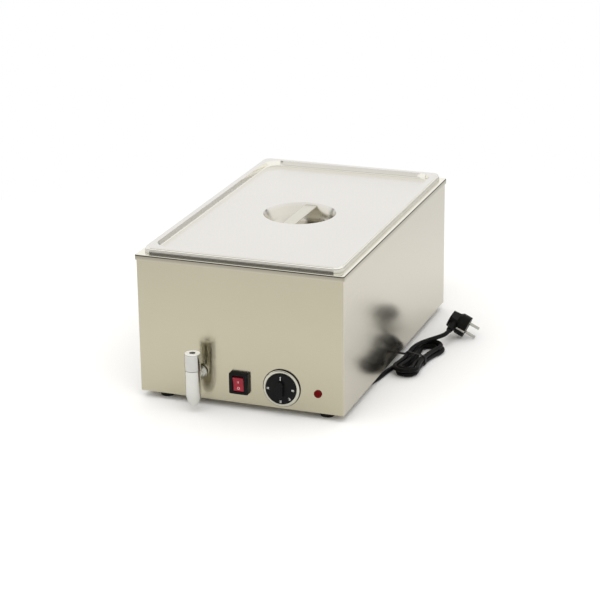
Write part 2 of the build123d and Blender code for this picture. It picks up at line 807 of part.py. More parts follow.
# Tap: upright barrel that narrows to its outlet, and a neck that goes through the panel
tap_top = base_top + barrel_top
tap_bottom = base_top + spout_end
bonnet_bottom = tap_top - bonnet_height
cock_bottom = base_top + plug_cock_bottom
cock_top = bonnet_bottom - seat_gap
with BuildPart() as tap_body:
    with BuildSketch(Plane((tap_x, tap_y, 0), x_dir=(1, 0, 0), z_dir=(0, -1, 0))):
        with BuildLine():
            barrel_end = (barrel_radius, base_top + barrel_foot)
            outlet_edge = (spout_radius, tap_bottom)
            TangentArc(barrel_end, outlet_edge, tangent=(0, -1))
            Polyline(outlet_edge, (0, tap_bottom), (0, tap_top), (barrel_radius, tap_top), barrel_end)
        make_face()
    revolve(axis=Axis((tap_x, tap_y, 0), (0, 0, 1)))
    with BuildSketch(panel(-tap_axis_out)):
        with Locations((tap_x, tap_z)):
            Circle(neck_radius)
    extrude(amount=-(tap_axis_out - washer_thickness))
    with BuildSketch(panel(-(washer_thickness + collar_length))):
        with Locations((tap_x, tap_z)):
            Circle(collar_radius)
    extrude(amount=-collar_length)
    with BuildSketch(panel(-(washer_thickness + tap_flange))):
        with Locations((tap_x, tap_z)):
            Circle(washer_radius)
    extrude(amount=-tap_flange)
    with BuildSketch(panel(-washer_thickness)):
        with Locations((tap_x, tap_z)):
            Circle(shank_radius)
    extrude(amount=-(washer_thickness + shank_length))
    with BuildSketch(panel(shank_length)):
        with Locations((tap_x, tap_z)):
            Circle(water_radius)
    extrude(amount=shank_length + tap_axis_out, mode=Mode.SUBTRACT)
    with Locations((tap_x, tap_y, cock_bottom)):
        Cylinder(plug_cock_radius + running_gap, tap_top - cock_bottom, align=low, mode=Mode.SUBTRACT)
    with Locations((tap_x, tap_y, bonnet_bottom)):
        Cylinder(bonnet_radius, bonnet_height, align=low, mode=Mode.SUBTRACT)
    with Locations((tap_x, tap_y, tap_bottom)):
        Cylinder(water_radius, cock_bottom - tap_bottom, align=low, mode=Mode.SUBTRACT)
tap_body.part.label = "tap_body"
export_step(tap_body.part, "parts/tap_body.step")

with BuildPart() as tap_washer:
    with BuildSketch(panel(0)):
        with Locations((tap_x, tap_z)):
            Circle(washer_radius)
            Circle(shank_radius, mode=Mode.SUBTRACT)
    extrude(amount=washer_thickness)
tap_washer.part.label = "tap_washer"
export_step(tap_washer.part, "parts/tap_washer.step")

with BuildPart() as tap_locknut:
    with BuildSketch(panel(sheet)):
        with Locations((tap_x, tap_z)):
            RegularPolygon(locknut_flat, 6, major_radius=False)
            Circle(shank_radius, mode=Mode.SUBTRACT)
    extrude(amount=-locknut_height)
tap_locknut.part.label = "tap_locknut"
export_step(tap_locknut.part, "parts/tap_locknut.step")

with BuildPart() as tap_bonnet:
    with BuildSketch(Plane.XY.offset(bonnet_bottom)):
        with Locations((tap_x, tap_y)):
            Circle(bonnet_radius)
            Circle(stem_radius + running_gap, mode=Mode.SUBTRACT)
    extrude(amount=bonnet_height)
tap_bonnet.part.label = "tap_bonnet"
export_step(tap_bonnet.part, "parts/tap_bonnet.step")

# Turning plug: its port runs from the side to the spout, and points sideways while the tap is shut
handle_bottom = base_top + hub_bottom
handle_top = handle_bottom + hub_height
stem_top = handle_bottom + stem_length
o_ring_z = base_top + o_ring_height
with BuildPart() as tap_o_ring:
    with Locations((tap_x, tap_y, o_ring_z)):
        Torus(plug_cock_radius - o_ring_section, o_ring_section)
tap_o_ring.part.label = "tap_o_ring"
export_step(tap_o_ring.part, "parts/tap_o_ring.step")

with BuildPart() as tap_plug:
    with Locations((tap_x, tap_y, cock_bottom + seat_gap)):
        Cylinder(plug_cock_radius, cock_top - cock_bottom - seat_gap, align=low)
    with Locations((tap_x, tap_y, cock_top)):
        Cylinder(stem_radius, handle_bottom - cock_top, align=low)
    with Locations((tap_x, tap_y, handle_bottom)):
        Box(stem_square, stem_square, stem_length, align=low)
    with Locations((tap_x, tap_y, cock_bottom)):
        Cylinder(port_radius, tap_z + port_radius - cock_bottom, align=low, mode=Mode.SUBTRACT)
    with Locations(Location((tap_x, tap_y, tap_z), (0, -90, 0))):
        Cylinder(port_radius - hole_clearance, 2 * plug_cock_radius, align=low, mode=Mode.SUBTRACT)
    with Locations((tap_x, tap_y, stem_top)):
        Cylinder(bolt_radius, handle_screw_grip, align=high, mode=Mode.SUBTRACT)
    with BuildSketch(Plane.XY.offset(o_ring_z)):
        with Locations((tap_x, tap_y)):
            Circle(plug_cock_radius + hole_clearance)
            Circle(plug_cock_radius - 2 * o_ring_section - running_gap, mode=Mode.SUBTRACT)
    extrude(amount=o_ring_section + running_gap, both=True, mode=Mode.SUBTRACT)
tap_plug.part.label = "tap_plug"
export_step(tap_plug.part, "parts/tap_plug.step")

# Handle: round cap over the stem, in line with the barrel
with BuildPart() as tap_handle:
    with Locations((tap_x, tap_y, handle_bottom)):
        Cylinder(hub_radius, hub_height, align=low)
    fillet(tap_handle.edges().group_by(Axis.Z)[-1], hub_edge)
    with Locations((tap_x, tap_y, handle_bottom)):
        Box(stem_square, stem_square, stem_length, align=low, mode=Mode.SUBTRACT)
    with Locations((tap_x, tap_y, stem_top)):
        Cylinder(bolt_radius + hole_clearance, handle_top - stem_top, align=low, mode=Mode.SUBTRACT)
    with Locations((tap_x, tap_y, handle_top)):
        Cylinder(handle_screw_recess, handle_screw_depth, align=high, mode=Mode.SUBTRACT)
tap_handle.part.label = "tap_handle"
export_step(tap_handle.part, "parts/tap_handle.step")

handle_screw_length = handle_top - handle_screw_depth - stem_top + handle_screw_grip - seat_gap
with BuildPart() as tap_handle_screw:
    with Locations((tap_x, tap_y, handle_top - handle_screw_depth)):
        Cylinder(head_radius, head_height, align=low)
        Cylinder(bolt_radius, handle_screw_length, align=high)
tap_handle_screw.part.label = "tap_handle_screw"
export_step(tap_handle_screw.part, "parts/tap_handle_screw.step")

# Drain: bent pipe welded into the tank's floor, and a hose to the tap's shank
hose_end = hose_start + hose_length
pipe_start = shank_length + hose_gap
with BuildPart() as drain_elbow:
    with BuildLine() as elbow_path:
        FilletPolyline(
            (tap_x, front_y + pipe_start, tap_z), (tap_x, drain_y, tap_z), (tap_x, drain_y, tank_floor),
            radius=elbow_radius,
        )
    with BuildSketch(Plane(elbow_path.wire() @ 0, z_dir=elbow_path.wire() % 0)):
        Circle(shank_radius)
        Circle(water_radius, mode=Mode.SUBTRACT)
    sweep()
drain_elbow.part.label = "drain_elbow"
export_step(drain_elbow.part, "parts/drain_elbow.step")

with BuildPart() as drain_hose:
    with BuildSketch(panel(hose_start)):
        with Locations((tap_x, tap_z)):
            Circle(shank_radius + hose_wall)
            Circle(shank_radius, mode=Mode.SUBTRACT)
    extrude(amount=-hose_length)
drain_hose.part.label = "drain_hose"
export_step(drain_hose.part, "parts/drain_hose.step")

with BuildPart() as hose_clamps:
    for clamp_start in (hose_start + clamp_inset, hose_end - clamp_inset - clamp_band):
        with BuildSketch(panel(clamp_start)):
            with Locations((tap_x, tap_z)):
                Circle(shank_radius + hose_wall + clamp_thickness)
                Circle(shank_radius + hose_wall, mode=Mode.SUBTRACT)
        extrude(amount=-clamp_band)
hose_clamps.part.label = "hose_clamps"
export_step(hose_clamps.part, "parts/hose_clamps.step")

# Heating element: a loop of tube against the underside of the tank, its two legs pointing forward
element_z = tank_under - element_radius
element_y0 = front_y + element_front
element_y1 = front_y + element_rear
element_corners = [
    (element_leg, element_y0 - element_leg_length, element_z),
    (element_leg, element_y0, element_z),
    (element_half_width, element_y0, element_z),
    (element_half_width, element_y1, element_z),
    (-element_half_width, element_y1, element_z),
    (-element_half_width, element_y0, element_z),
    (-element_leg, element_y0, element_z),
    (-element_leg, element_y0 - element_leg_length, element_z),
]
with BuildPart() as heating_element:
    with BuildLine() as element_path:
        FilletPolyline(*element_corners, radius=element_bend)
    with BuildSketch(Plane(element_path.wire() @ 0, z_dir=element_path.wire() % 0)):
        Circle(element_radius)
    sweep()
heating_element.part.label = "heating_element"
export_step(heating_element.part, "parts/heating_element.step")

with BuildPart() as element_terminals:
    with BuildSketch(panel(element_front - element_leg_length)):
        with Locations((0, element_z)):
            with GridLocations(2 * element_leg, 0, 2, 1):
                Circle(element_pin_radius)
    extrude(amount=element_pin_length)
element_terminals.part.label = "element_terminals"
export_step(element_terminals.part, "parts/element_terminals.step")

clamp_bar_top = tank_under - 2 * element_radius
clamp_bar_y = (element_y0 + element_y1) / 2
with BuildPart() as element_clamps:
    with BuildSketch(Plane.XY.offset(clamp_bar_top)):
        with Locations((0, clamp_bar_y)):
            with GridLocations(2 * element_half_width, clamp_bar_pitch, 2, 2):
                Rectangle(clamp_bar_length, clamp_bar_width)
                with GridLocations(clamp_stud_pitch, 0, 2, 1):
                    Circle(bolt_radius + hole_clearance, mode=Mode.SUBTRACT)
    extrude(amount=-clamp_bar_thickness)
element_clamps.part.label = "element_clamps"
export_step(element_clamps.part, "parts/element_clamps.step")

# Safety cut-out and thermostat bulb, held to the underside of the tank
cutout_place = (0, front_y + cutout_y)
bulb_place_y = front_y + bulb_y
bulb_z = tank_under - bulb_radius
clip_stud_y = bulb_place_y + bulb_radius + sheet + bulb_clip_foot / 2
with BuildPart() as thermal_cutout:
    with BuildSketch(Plane.XY.offset(tank_under)):
        with Locations(cutout_place):
            RectangleRounded(cutout_flange_length, cutout_flange_width, bend_radius)
            with GridLocations(cutout_stud_pitch, 0, 2, 1):
                Circle(bolt_radius + hole_clearance, mode=Mode.SUBTRACT)
    extrude(amount=-sheet)
    with Locations((*cutout_place, tank_under)):
        Cylinder(cutout_radius, cutout_height, align=high)
    with BuildSketch(Plane.XY.offset(tank_under - cutout_height)):
        with Locations(cutout_place):
            with GridLocations(2 * cutout_blade_x, 0, 2, 1):
                Rectangle(blade_thickness, blade_width)
    extrude(amount=-blade_length)
thermal_cutout.part.label = "thermal_cutout"
export_step(thermal_cutout.part, "parts/thermal_cutout.step")

capillary_points = [
    (bulb_length / 2, bulb_place_y, bulb_z),
    (bulb_length / 2 + capillary_reach, bulb_place_y, bulb_z),
    (knob_x, bulb_place_y - capillary_reach, bulb_z - capillary_drop),
    (knob_x, front_y + element_front, capillary_z),
    (knob_x, front_y + thermostat_rear, capillary_z),
]
with BuildPart() as thermostat_bulb:
    with BuildLine() as capillary_path:
        FilletPolyline(*capillary_points, radius=capillary_bend)
    with BuildSketch(Plane(capillary_path.wire() @ 0, z_dir=capillary_path.wire() % 0)):
        Circle(capillary_radius)
    sweep()
    with Locations(Location((0, bulb_place_y, bulb_z), along_x)):
        Cylinder(bulb_radius, bulb_length)
thermostat_bulb.part.label = "thermostat_bulb"
export_step(thermostat_bulb.part, "parts/thermostat_bulb.step")

with BuildPart() as bulb_clip:
    with Locations((0, bulb_place_y, tank_under)):
        Box(bulb_clip_width, 2 * (bulb_radius + sheet), 2 * bulb_radius + sheet, align=high)
        Box(bulb_clip_width, 2 * bulb_radius, 2 * bulb_radius, align=high, mode=Mode.SUBTRACT)
    with Locations((0, clip_stud_y, tank_under)):
        Box(bulb_clip_width, bulb_clip_foot, sheet, align=high)
        Cylinder(bolt_radius + hole_clearance, sheet, align=high, mode=Mode.SUBTRACT)
bulb_clip.part.label = "bulb_clip"
export_step(bulb_clip.part, "parts/bulb_clip.step")

# Studs welded to the underside of the tank, and their nuts
clamp_stud_points = [
    (side * element_half_width + end * clamp_stud_pitch / 2, clamp_bar_y + row * clamp_bar_pitch / 2)
    for side in (-1, 1)
    for row in (-1, 1)
    for end in (-1, 1)
]
plate_stud_points = [
    (-cutout_stud_pitch / 2, cutout_place[1]),
    (cutout_stud_pitch / 2, cutout_place[1]),
    (0, clip_stud_y),
]
stud_length = 2 * element_radius + clamp_bar_thickness + nut_height + thread_end
with BuildPart() as tank_studs:
    with Locations(*[(x, y, tank_under) for x, y in clamp_stud_points + plate_stud_points]):
        Cylinder(bolt_radius, stud_length, align=high)
tank_studs.part.label = "tank_studs"
export_step(tank_studs.part, "parts/tank_studs.step")

with BuildPart() as stud_nuts:
    for nut_top, points in (
        (clamp_bar_top - clamp_bar_thickness, clamp_stud_points),
        (tank_under - sheet, plate_stud_points),
    ):
        with BuildSketch(Plane.XY.offset(nut_top)):
            with Locations(*points):
                RegularPolygon(nut_flat, 6, major_radius=False)
                Circle(bolt_radius, mode=Mode.SUBTRACT)
        extrude(amount=-nut_height)
stud_nuts.part.label = "stud_nuts"
export_step(stud_nuts.part, "parts/stud_nuts.step")

# Mains entry: rubber boot in the pocket's front wall, the cord's inner end and its clamp
boot_wall = front_y + pocket_front
boot_start = boot_wall - sheet - boot_flange
boot_end = boot_wall + boot_flange + boot_length
boot_plane = Plane((pocket_x, boot_start, boot_z), x_dir=(1, 0, 0), z_dir=(0, 0, 1))
with BuildPart() as cord_boot:
    with BuildSketch(boot_plane):
        with BuildLine():
            Polyline(
                (0, 0),
                (boot_flange_radius, 0),
                (boot_flange_radius, boot_flange),
                (boot_neck_radius, boot_flange),
                (boot_neck_radius, boot_flange + sheet),
                (boot_flange_radius, boot_flange + sheet),
                (boot_flange_radius, 2 * boot_flange + sheet),
                (boot_root_radius, 2 * boot_flange + sheet),
                (boot_tip_radius, boot_end - boot_start),
                (0, boot_end - boot_start),
                close=True,
            )
        make_face()
    revolve(axis=Axis((pocket_x, boot_start, boot_z), (0, 1, 0)))
cord_boot.part.label = "cord_boot"
export_step(cord_boot.part, "parts/cord_boot.step")

clamp_middle = boot_start - inner_cord_length / 2
along_y = (90, 0, 0)
with BuildPart() as cord_inner:
    with Locations(Location((pocket_x, clamp_middle, boot_z), along_y)):
        Cylinder(cord_radius, inner_cord_length)
cord_inner.part.label = "cord_inner"
export_step(cord_inner.part, "parts/cord_inner.step")

with BuildPart() as cord_clamp:
    with Locations((pocket_x, clamp_middle, base_top)):
        Box(cord_clamp_width, cord_clamp_length, boot_height + cord_radius + cord_clamp_wall, align=low)
    with Locations(Location((pocket_x, clamp_middle, boot_z), along_y)):
        Cylinder(cord_radius, cord_clamp_length, mode=Mode.SUBTRACT)
cord_clamp.part.label = "cord_clamp"
export_step(cord_clamp.part, "parts/cord_clamp.step")

# Terminal block with its ways and screws, and the earth screw
block_way_z = base_top + block_height / 2
with BuildPart() as terminal_block:
    with Locations((block_x, block_y, base_top)):
        Box(block_width, block_length, block_height, align=low)
    with Locations(Location((block_x, block_y, block_way_z), along_y)):
        with GridLocations(block_way_pitch, 0, 3, 1):
            Cylinder(block_way_radius, block_length, mode=Mode.SUBTRACT)
    with Locations((block_x, block_y, base_top + block_height)):
        with GridLocations(block_way_pitch, block_length / 2, 3, 2):
            Cylinder(block_screw_radius, block_height / 2, align=high, mode=Mode.SUBTRACT)
terminal_block.part.label = "terminal_block"
export_step(terminal_block.part, "parts/terminal_block.step")

with BuildPart() as terminal_screws:
    with Locations((block_x, block_y, base_top + block_height)):
        with GridLocations(block_way_pitch, block_length / 2, 3, 2):
            Cylinder(block_screw_radius, block_screw_length, align=high)
terminal_screws.part.label = "terminal_screws"
export_step(terminal_screws.part, "parts/terminal_screws.step")

with BuildPart() as earth_screw:
    with Locations((earth_x, earth_y, foot_height)):
        Cylinder(head_radius, head_height, align=high)
        Cylinder(bolt_radius, earth_screw_length, align=low)
    with BuildSketch(Plane.XY.offset(base_top)):
        with Locations((earth_x, earth_y)):
            RegularPolygon(nut_flat, 6, major_radius=False)
    extrude(amount=nut_height)
earth_screw.part.label = "earth_screw"
export_step(earth_screw.part, "parts/earth_screw.step")

# Mains cord as it lies: the hank is one tube of loops that spiral in on the floor, climb and spiral out
hank_turn = math.radians(hank_heading)
hank_along = (math.cos(hank_turn), math.sin(hank_turn), 0)
hank_plane = Plane((hank_x, hank_y, 0), x_dir=hank_along, z_dir=(0, 0, 1))
hank_quarters = 4 * hank_loops
hank_low = tie_floor_gap + tie_thickness + tie_gap + cord_radius
hank_high = hank_low + hank_layer


def hank_node(k):
    """Place and direction of the tube after k quarter loops, x along the hank and y across it."""
    inset = min(k, hank_quarters - k) / 4
    waist = hank_waist - hank_waist_step * inset
    rear = hank_rear - hank_tip_step * inset
    front = hank_front - hank_tip_step * inset
    x, y = [(0, waist), (rear, 0), (0, -waist), (-front, 0)][k % 4]
    run, side = [(1, 0), (0, -1), (-1, 0), (0, 1)][k % 4]
    z, climb = (hank_low, 0) if 2 * k < hank_quarters else (hank_high, 0)
    if k == 0:
        x, y = hank_join
    if 2 * k == hank_quarters:
        z, climb = (hank_low + hank_high) / 2, hank_layer / hank_front
    if k == hank_quarters:
        z, climb = hank_high + hank_end_rise, hank_end_slope
    return Vector(x, y, z), Vector(run, side, climb).normalized()


def biarc(start, start_way, end, end_way, reach):
    """Two arcs from start to end, each as its two ends and the corner where its end tangents meet."""
    chord = end - start
    other = (chord.dot(chord) - 2 * reach * chord.dot(start_way)) / (
        2 * (reach * (1 - start_way.dot(end_way)) + chord.dot(end_way))
    )
    first = start + start_way * reach
    second = end - end_way * other
    joint = (first * other + second * reach) / (reach + other)
    return [(start, first, joint), (joint, second, end)]


def quarter(k):
    """The two arcs of one quarter loop, between a waist and a lobe's tip."""
    (start, start_way), (end, end_way) = hank_node(k), hank_node(k + 1)
    tip = k if k % 2 else k + 1
    lobe = hank_rear_lobe if tip % 4 == 1 else hank_front_lobe
    lobe -= hank_lobe_step * min(tip, hank_quarters - tip) / 4
    if tip == k:
        return biarc(start, start_way, end, end_way, lobe)
    return [(c, b, a) for a, b, c in reversed(biarc(end, end_way * -1, start, start_way * -1, lobe))]


def arc_middle(start, corner, end):
    """Point halfway along an arc that is given by its ends and its corner."""
    weight = (end - start).length / ((corner - start).length + (end - corner).length)
    return (start + corner * (2 * weight) + end) / (2 + 2 * weight)


def tube_radii(points):
    """Radius of the arc at each inner point of a route, as large as the shorter run beside it allows."""
    radii = []
    for before, at, after in zip(points, points[1:], points[2:]):
        run_in, run_out = Vector(*at) - Vector(*before), Vector(*after) - Vector(*at)
        half_turn = math.radians(run_in.get_angle(run_out)) / 2
        radii.append(arc_share * min(run_in.length, run_out.length) / math.tan(half_turn))
    return radii


def report_tube(name, part, path, least_radius):
    """Print a tube's length and tightest bend, and how its volume compares with section times length."""
    share = part.volume / (math.pi * cord_radius**2 * path.length)
    print(f"{name}: length {path.length:.1f}, least radius {least_radius:.1f}, volume share {share:.4f}")


hank_start, hank_start_way = hank_node(0)
hank_end, hank_end_way = hank_node(hank_quarters)
hank_first = hank_start - hank_start_way * (2 * cord_radius)
hank_last = hank_end + hank_end_way * (2 * cord_radius)
with BuildPart() as cord_hank:
    with BuildLine(hank_plane) as hank_line:
        Line(tuple(hank_first), tuple(hank_start))
        for k in range(hank_quarters):
            for start, corner, end in quarter(k):
                ThreePointArc(tuple(start), tuple(arc_middle(start, corner, end)), tuple(end))
        Line(tuple(hank_end), tuple(hank_last))
    hank_path = hank_line.wire()
    with BuildSketch(Plane(hank_path @ 0, z_dir=hank_path % 0)):
        Circle(cord_radius)
    sweep(path=hank_path)
cord_hank.part.label = "cord_hank"
export_step(cord_hank.part, "parts/cord_hank.step")

# Least gap of the hank to itself, measured between points that are further apart along the tube
gap_step = hank_path.length / gap_samples
gap_points = [tuple(hank_path.position_at(i / gap_samples)) for i in range(gap_samples + 1)]
gap_skip = math.ceil(6 * cord_radius / gap_step)
hank_gap = min(
    math.dist(gap_points[i], gap_points[j])
    for i in range(len(gap_points))
    for j in range(i + gap_skip, len(gap_points))
)
hank_bends = [edge.radius for edge in hank_path.edges().filter_by(GeomType.CIRCLE)]
report_tube("cord_hank", cord_hank.part, hank_path, min(hank_bends))
print(f"cord_hank: least gap to itself {hank_gap - 2 * cord_radius:.2f}")

# Lead: out of the boot, down to the floor, out from under the casing's edge and along to the hank
lead_end = hank_plane.from_local_coords(hank_first)
lead_turn = hank_plane.from_local_coords(hank_first - hank_start_way * lead_last_run)
lead_route = [
    (pocket_x, boot_end, boot_z),
    (pocket_x, boot_end + lead_first_run, boot_z),
    (141.5, -143.8, 15.9),
    (145.2, -128.8, 8.9),
    (150.6, -113.3, 4.6),
    (156.9, -96.3, 3.8),
    (162.6, -77.8, 3.8),
    (166.0, -58.4, 3.8),
    (168.2, -39.3, 3.8),
    (171.3, -21.8, 3.9),
    (175.4, -6.3, 4.3),
    tuple(lead_turn),
    tuple(lead_end),
]
lead_radii = tube_radii(lead_route)
with BuildPart() as cord_lead:
    with BuildLine() as lead_line:
        FilletPolyline(*lead_route, radius=lead_radii)
    lead_path = lead_line.wire()
    with BuildSketch(Plane(lead_path @ 0, z_dir=lead_path % 0)):
        Circle(cord_radius)
    sweep(path=lead_path)
cord_lead.part.label = "cord_lead"
export_step(cord_lead.part, "parts/cord_lead.step")
report_tube("cord_lead", cord_lead.part, lead_path, min(lead_radii))

# Plug: round angled body on its pins' tips, flattened at its back where the cord's sleeve leaves it
tilt = math.radians(plug_tilt)
roll = math.radians(plug_roll)
plug_way = Vector(math.cos(tilt), 0, -math.sin(tilt))
sleeve_way = Vector(-math.sin(tilt) * math.sin(roll), -math.cos(roll), -math.cos(tilt) * math.sin(roll))
plug_plane = Plane((plug_x, plug_y, plug_z), x_dir=sleeve_way, z_dir=plug_way)
sleeve_root = plug_plane.from_local_coords((0, 0, -sleeve_back))
sleeve_plane = Plane(sleeve_root, x_dir=plug_way, z_dir=sleeve_way)
slot_x = plug_radius - earth_slot_depth / 2
with BuildPart() as plug_body:
    with BuildSketch(Plane(plug_plane.origin, x_dir=sleeve_way, z_dir=sleeve_way.cross(plug_way))):
        with BuildLine():
            Polyline(
                (0, 0),
                (plug_radius, 0),
                (plug_radius, -plug_head),
                (plug_neck_radius, -plug_head - plug_step),
                (plug_rear_radius, -plug_depth),
                (0, -plug_depth),
                close=True,
            )
        make_face()
    revolve(axis=Axis(plug_plane.origin, plug_way))
    with BuildSketch(plug_plane.offset(-plug_head - plug_step)):
        with GridLocations(0, 2 * (plug_flat + plug_radius), 1, 2):
            Rectangle(2 * plug_radius, 2 * plug_radius)
    extrude(amount=-plug_depth, mode=Mode.SUBTRACT)
    with BuildSketch(sleeve_plane):
        Circle(sleeve_root_radius)
    extrude(amount=sleeve_start)
    with BuildSketch(sleeve_plane.offset(sleeve_start)):
        Circle(sleeve_root_radius)
    with BuildSketch(sleeve_plane.offset(sleeve_end)):
        Circle(sleeve_tip_radius)
    loft()
    with BuildSketch(plug_plane):
        with GridLocations(0, plug_pin_pitch, 1, 2):
            Circle(plug_pin_radius)
    extrude(amount=-plug_pin_root, mode=Mode.SUBTRACT)
    with BuildSketch(plug_plane):
        with GridLocations(2 * slot_x, 0, 2, 1):
            Rectangle(earth_slot_depth, earth_slot_width)
    extrude(amount=-earth_slot_length, mode=Mode.SUBTRACT)
plug_body.part.label = "plug_body"
export_step(plug_body.part, "parts/plug_body.step")

with BuildPart() as plug_pins:
    with BuildSketch(plug_plane.offset(-plug_pin_root)):
        with GridLocations(0, plug_pin_pitch, 1, 2):
            Circle(plug_pin_radius)
    extrude(amount=plug_pin_root + plug_pin_length)
    pin_tips = plug_pins.edges().filter_by(GeomType.CIRCLE).sort_by(Axis(plug_plane.origin, plug_way))[-2:]
    fillet(pin_tips, plug_pin_tip)
plug_pins.part.label = "plug_pins"
export_step(plug_pins.part, "parts/plug_pins.step")

with BuildPart() as plug_earth_clips:
    with BuildSketch(plug_plane):
        with GridLocations(2 * (plug_radius - earth_slot_depth + earth_clip_thickness / 2), 0, 2, 1):
            Rectangle(earth_clip_thickness, earth_slot_width)
    extrude(amount=-earth_slot_length)
plug_earth_clips.part.label = "plug_earth_clips"
export_step(plug_earth_clips.part, "parts/plug_earth_clips.step")

# Tail: from the hank's top over its rear lobe to the plug's sleeve
tail_end = sleeve_root + sleeve_way * sleeve_end
tail_route = [
    tuple(hank_plane.from_local_coords(hank_last)),
    tuple(hank_plane.from_local_coords(hank_last + hank_end_way * tail_first_run)),
    (190.9, 46.2, 20.4),
    (194.6, 56.8, 21.1),
    (199.3, 67.5, 21.4),
    (204.9, 78.0, 21.3),
    (211.0, 88.3, 21.2),
    (217.3, 98.5, 21.3),
    (222.9, 108.3, 21.6),
    tuple(tail_end + sleeve_way * tail_last_run),
    tuple(tail_end),
]
tail_radii = tube_radii(tail_route)
with BuildPart() as cord_tail:
    with BuildLine() as tail_line:
        FilletPolyline(*tail_route, radius=tail_radii)
    tail_path = tail_line.wire()
    with BuildSketch(Plane(tail_path @ 0, z_dir=tail_path % 0)):
        Circle(cord_radius)
    sweep(path=tail_path)
cord_tail.part.label = "cord_tail"
export_step(cord_tail.part, "parts/cord_tail.step")
report_tube("cord_tail", cord_tail.part, tail_path, min(tail_radii))
print("bends", [round(radius) for radius in lead_radii + tail_radii])

# Tie round the strands at the waist, with its twisted end
waist_nodes = [hank_node(k)[0] for k in range(2, hank_quarters + 1, 2)]
tie_plane = Plane(
    hank_plane.from_local_coords((-tie_width / 2, 0, 0)), x_dir=hank_plane.y_dir, z_dir=hank_plane.x_dir
)
with BuildPart() as cord_tie:
    with BuildSketch(tie_plane):
        with Locations(*[(spot.Y, spot.Z) for spot in waist_nodes]):
            Circle(cord_radius + tie_gap + tie_thickness)
        make_hull()
    extrude(amount=tie_width)
    tie_end = hank_plane.from_local_coords((0, hank_end.Y, hank_end.Z))
    with Locations(Location(tie_end, (tie_end_tilt, 0, hank_heading - 90))):
        Box(tie_end_length, tie_end_width, tie_end_thickness, align=(Align.MAX, Align.CENTER, Align.MAX))
    with BuildSketch(tie_plane):
        with Locations(*[(spot.Y, spot.Z) for spot in waist_nodes]):
            Circle(cord_radius + tie_gap)
        make_hull()
    extrude(amount=tie_width, mode=Mode.SUBTRACT)
cord_tie.part.label = "cord_tie"
export_step(cord_tie.part, "parts/cord_tie.step")
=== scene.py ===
import math

import bmesh
import bpy
from mathutils import Matrix, Vector
from mathutils.bvhtree import BVHTree


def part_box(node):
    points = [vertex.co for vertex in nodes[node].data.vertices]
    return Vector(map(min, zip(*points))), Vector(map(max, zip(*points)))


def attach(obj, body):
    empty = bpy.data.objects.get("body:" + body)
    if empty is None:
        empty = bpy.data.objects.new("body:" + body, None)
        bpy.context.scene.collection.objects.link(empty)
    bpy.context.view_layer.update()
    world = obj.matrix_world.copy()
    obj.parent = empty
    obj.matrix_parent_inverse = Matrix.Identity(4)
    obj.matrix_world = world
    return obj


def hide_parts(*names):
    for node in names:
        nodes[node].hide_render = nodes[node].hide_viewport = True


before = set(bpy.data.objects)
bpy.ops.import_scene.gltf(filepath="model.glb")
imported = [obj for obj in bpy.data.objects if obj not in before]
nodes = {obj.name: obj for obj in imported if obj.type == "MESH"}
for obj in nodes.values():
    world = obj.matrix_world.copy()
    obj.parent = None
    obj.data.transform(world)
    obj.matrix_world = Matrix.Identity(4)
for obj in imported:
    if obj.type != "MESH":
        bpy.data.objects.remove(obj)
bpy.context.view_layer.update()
scene = bpy.context.scene

# Places on the front panel, in metres, as in the CAD
PANEL_Y = -0.24985
CONTROL_Z = 0.046
KNOB_X = 0.0688
SWITCH_X = -0.0005

# Camera of the photograph: its place, its angles in degrees, and its focal length and centre in pixels
# of a frame of 600
PHOTO_SIZE = 600.0
PHOTO_FOCAL = 2037.11
PHOTO_CENTRE = (293.02, 288.83)
CAMERA_PLACE = (1.10472, -2.95281, 1.23778)
CAMERA_TURN = (20.59, 19.60, -0.80)
SENSOR = 36.0
VIEW_END = 60.0


def make_camera():
    turn, rise, roll = (math.radians(a) for a in CAMERA_TURN)
    back = Vector((math.sin(turn) * math.cos(rise), -math.cos(turn) * math.cos(rise), math.sin(rise)))
    flat_right = Vector((0, 0, 1)).cross(back).normalized()
    flat_up = back.cross(flat_right)
    right = flat_right * math.cos(roll) + flat_up * math.sin(roll)
    up = flat_up * math.cos(roll) - flat_right * math.sin(roll)
    data = bpy.data.cameras.new("photo_camera")
    data.sensor_width = SENSOR
    data.lens = PHOTO_FOCAL * SENSOR / PHOTO_SIZE
    data.shift_x = (PHOTO_SIZE / 2 - PHOTO_CENTRE[0]) / PHOTO_SIZE
    data.shift_y = (PHOTO_CENTRE[1] - PHOTO_SIZE / 2) / PHOTO_SIZE
    data.clip_end = VIEW_END
    camera = bpy.data.objects.new("photo_camera", data)
    scene.collection.objects.link(camera)
    camera.matrix_world = Matrix.Translation(CAMERA_PLACE) @ Matrix((right, up, back)).transposed().to_4x4()
    scene.camera = camera


make_camera()


# Procedural materials; a noise is given as its scale, detail and roughness, and a spread as its lowest
# and highest factor
NOISE_LOW, NOISE_HIGH = 0.3, 0.7
BRUSH_ACROSS, BRUSH_ALONG = 900.0, 8.0
BRUSH_NOISE = (1.0, 4.0, 0.65)
CLOUD_NOISE = (5.0, 4.0, 0.6)
CLOUD_SHARE, CLOUD_TONE = 0.35, 0.93
WIPE_NOISE = (90.0, 4.0, 0.6)
WIPE_TONE, WIPE_ROUGH = 0.96, 1.3
GRAIN_DETAIL, GRAIN_ROUGH = 3.0, 0.6
TONE_NOISE = (40.0, 3.0, 0.5)
TONE_SPREAD = (0.85, 1.2)
ROUGH_SPREAD = (0.85, 1.2)
RELIEF_DEPTH = 0.0002
PATCH_FADE = 0.08
FACING = (0.6, 0.9)
WALL_FACING = (0.85, 0.98)
SATIN_METAL = 0.25


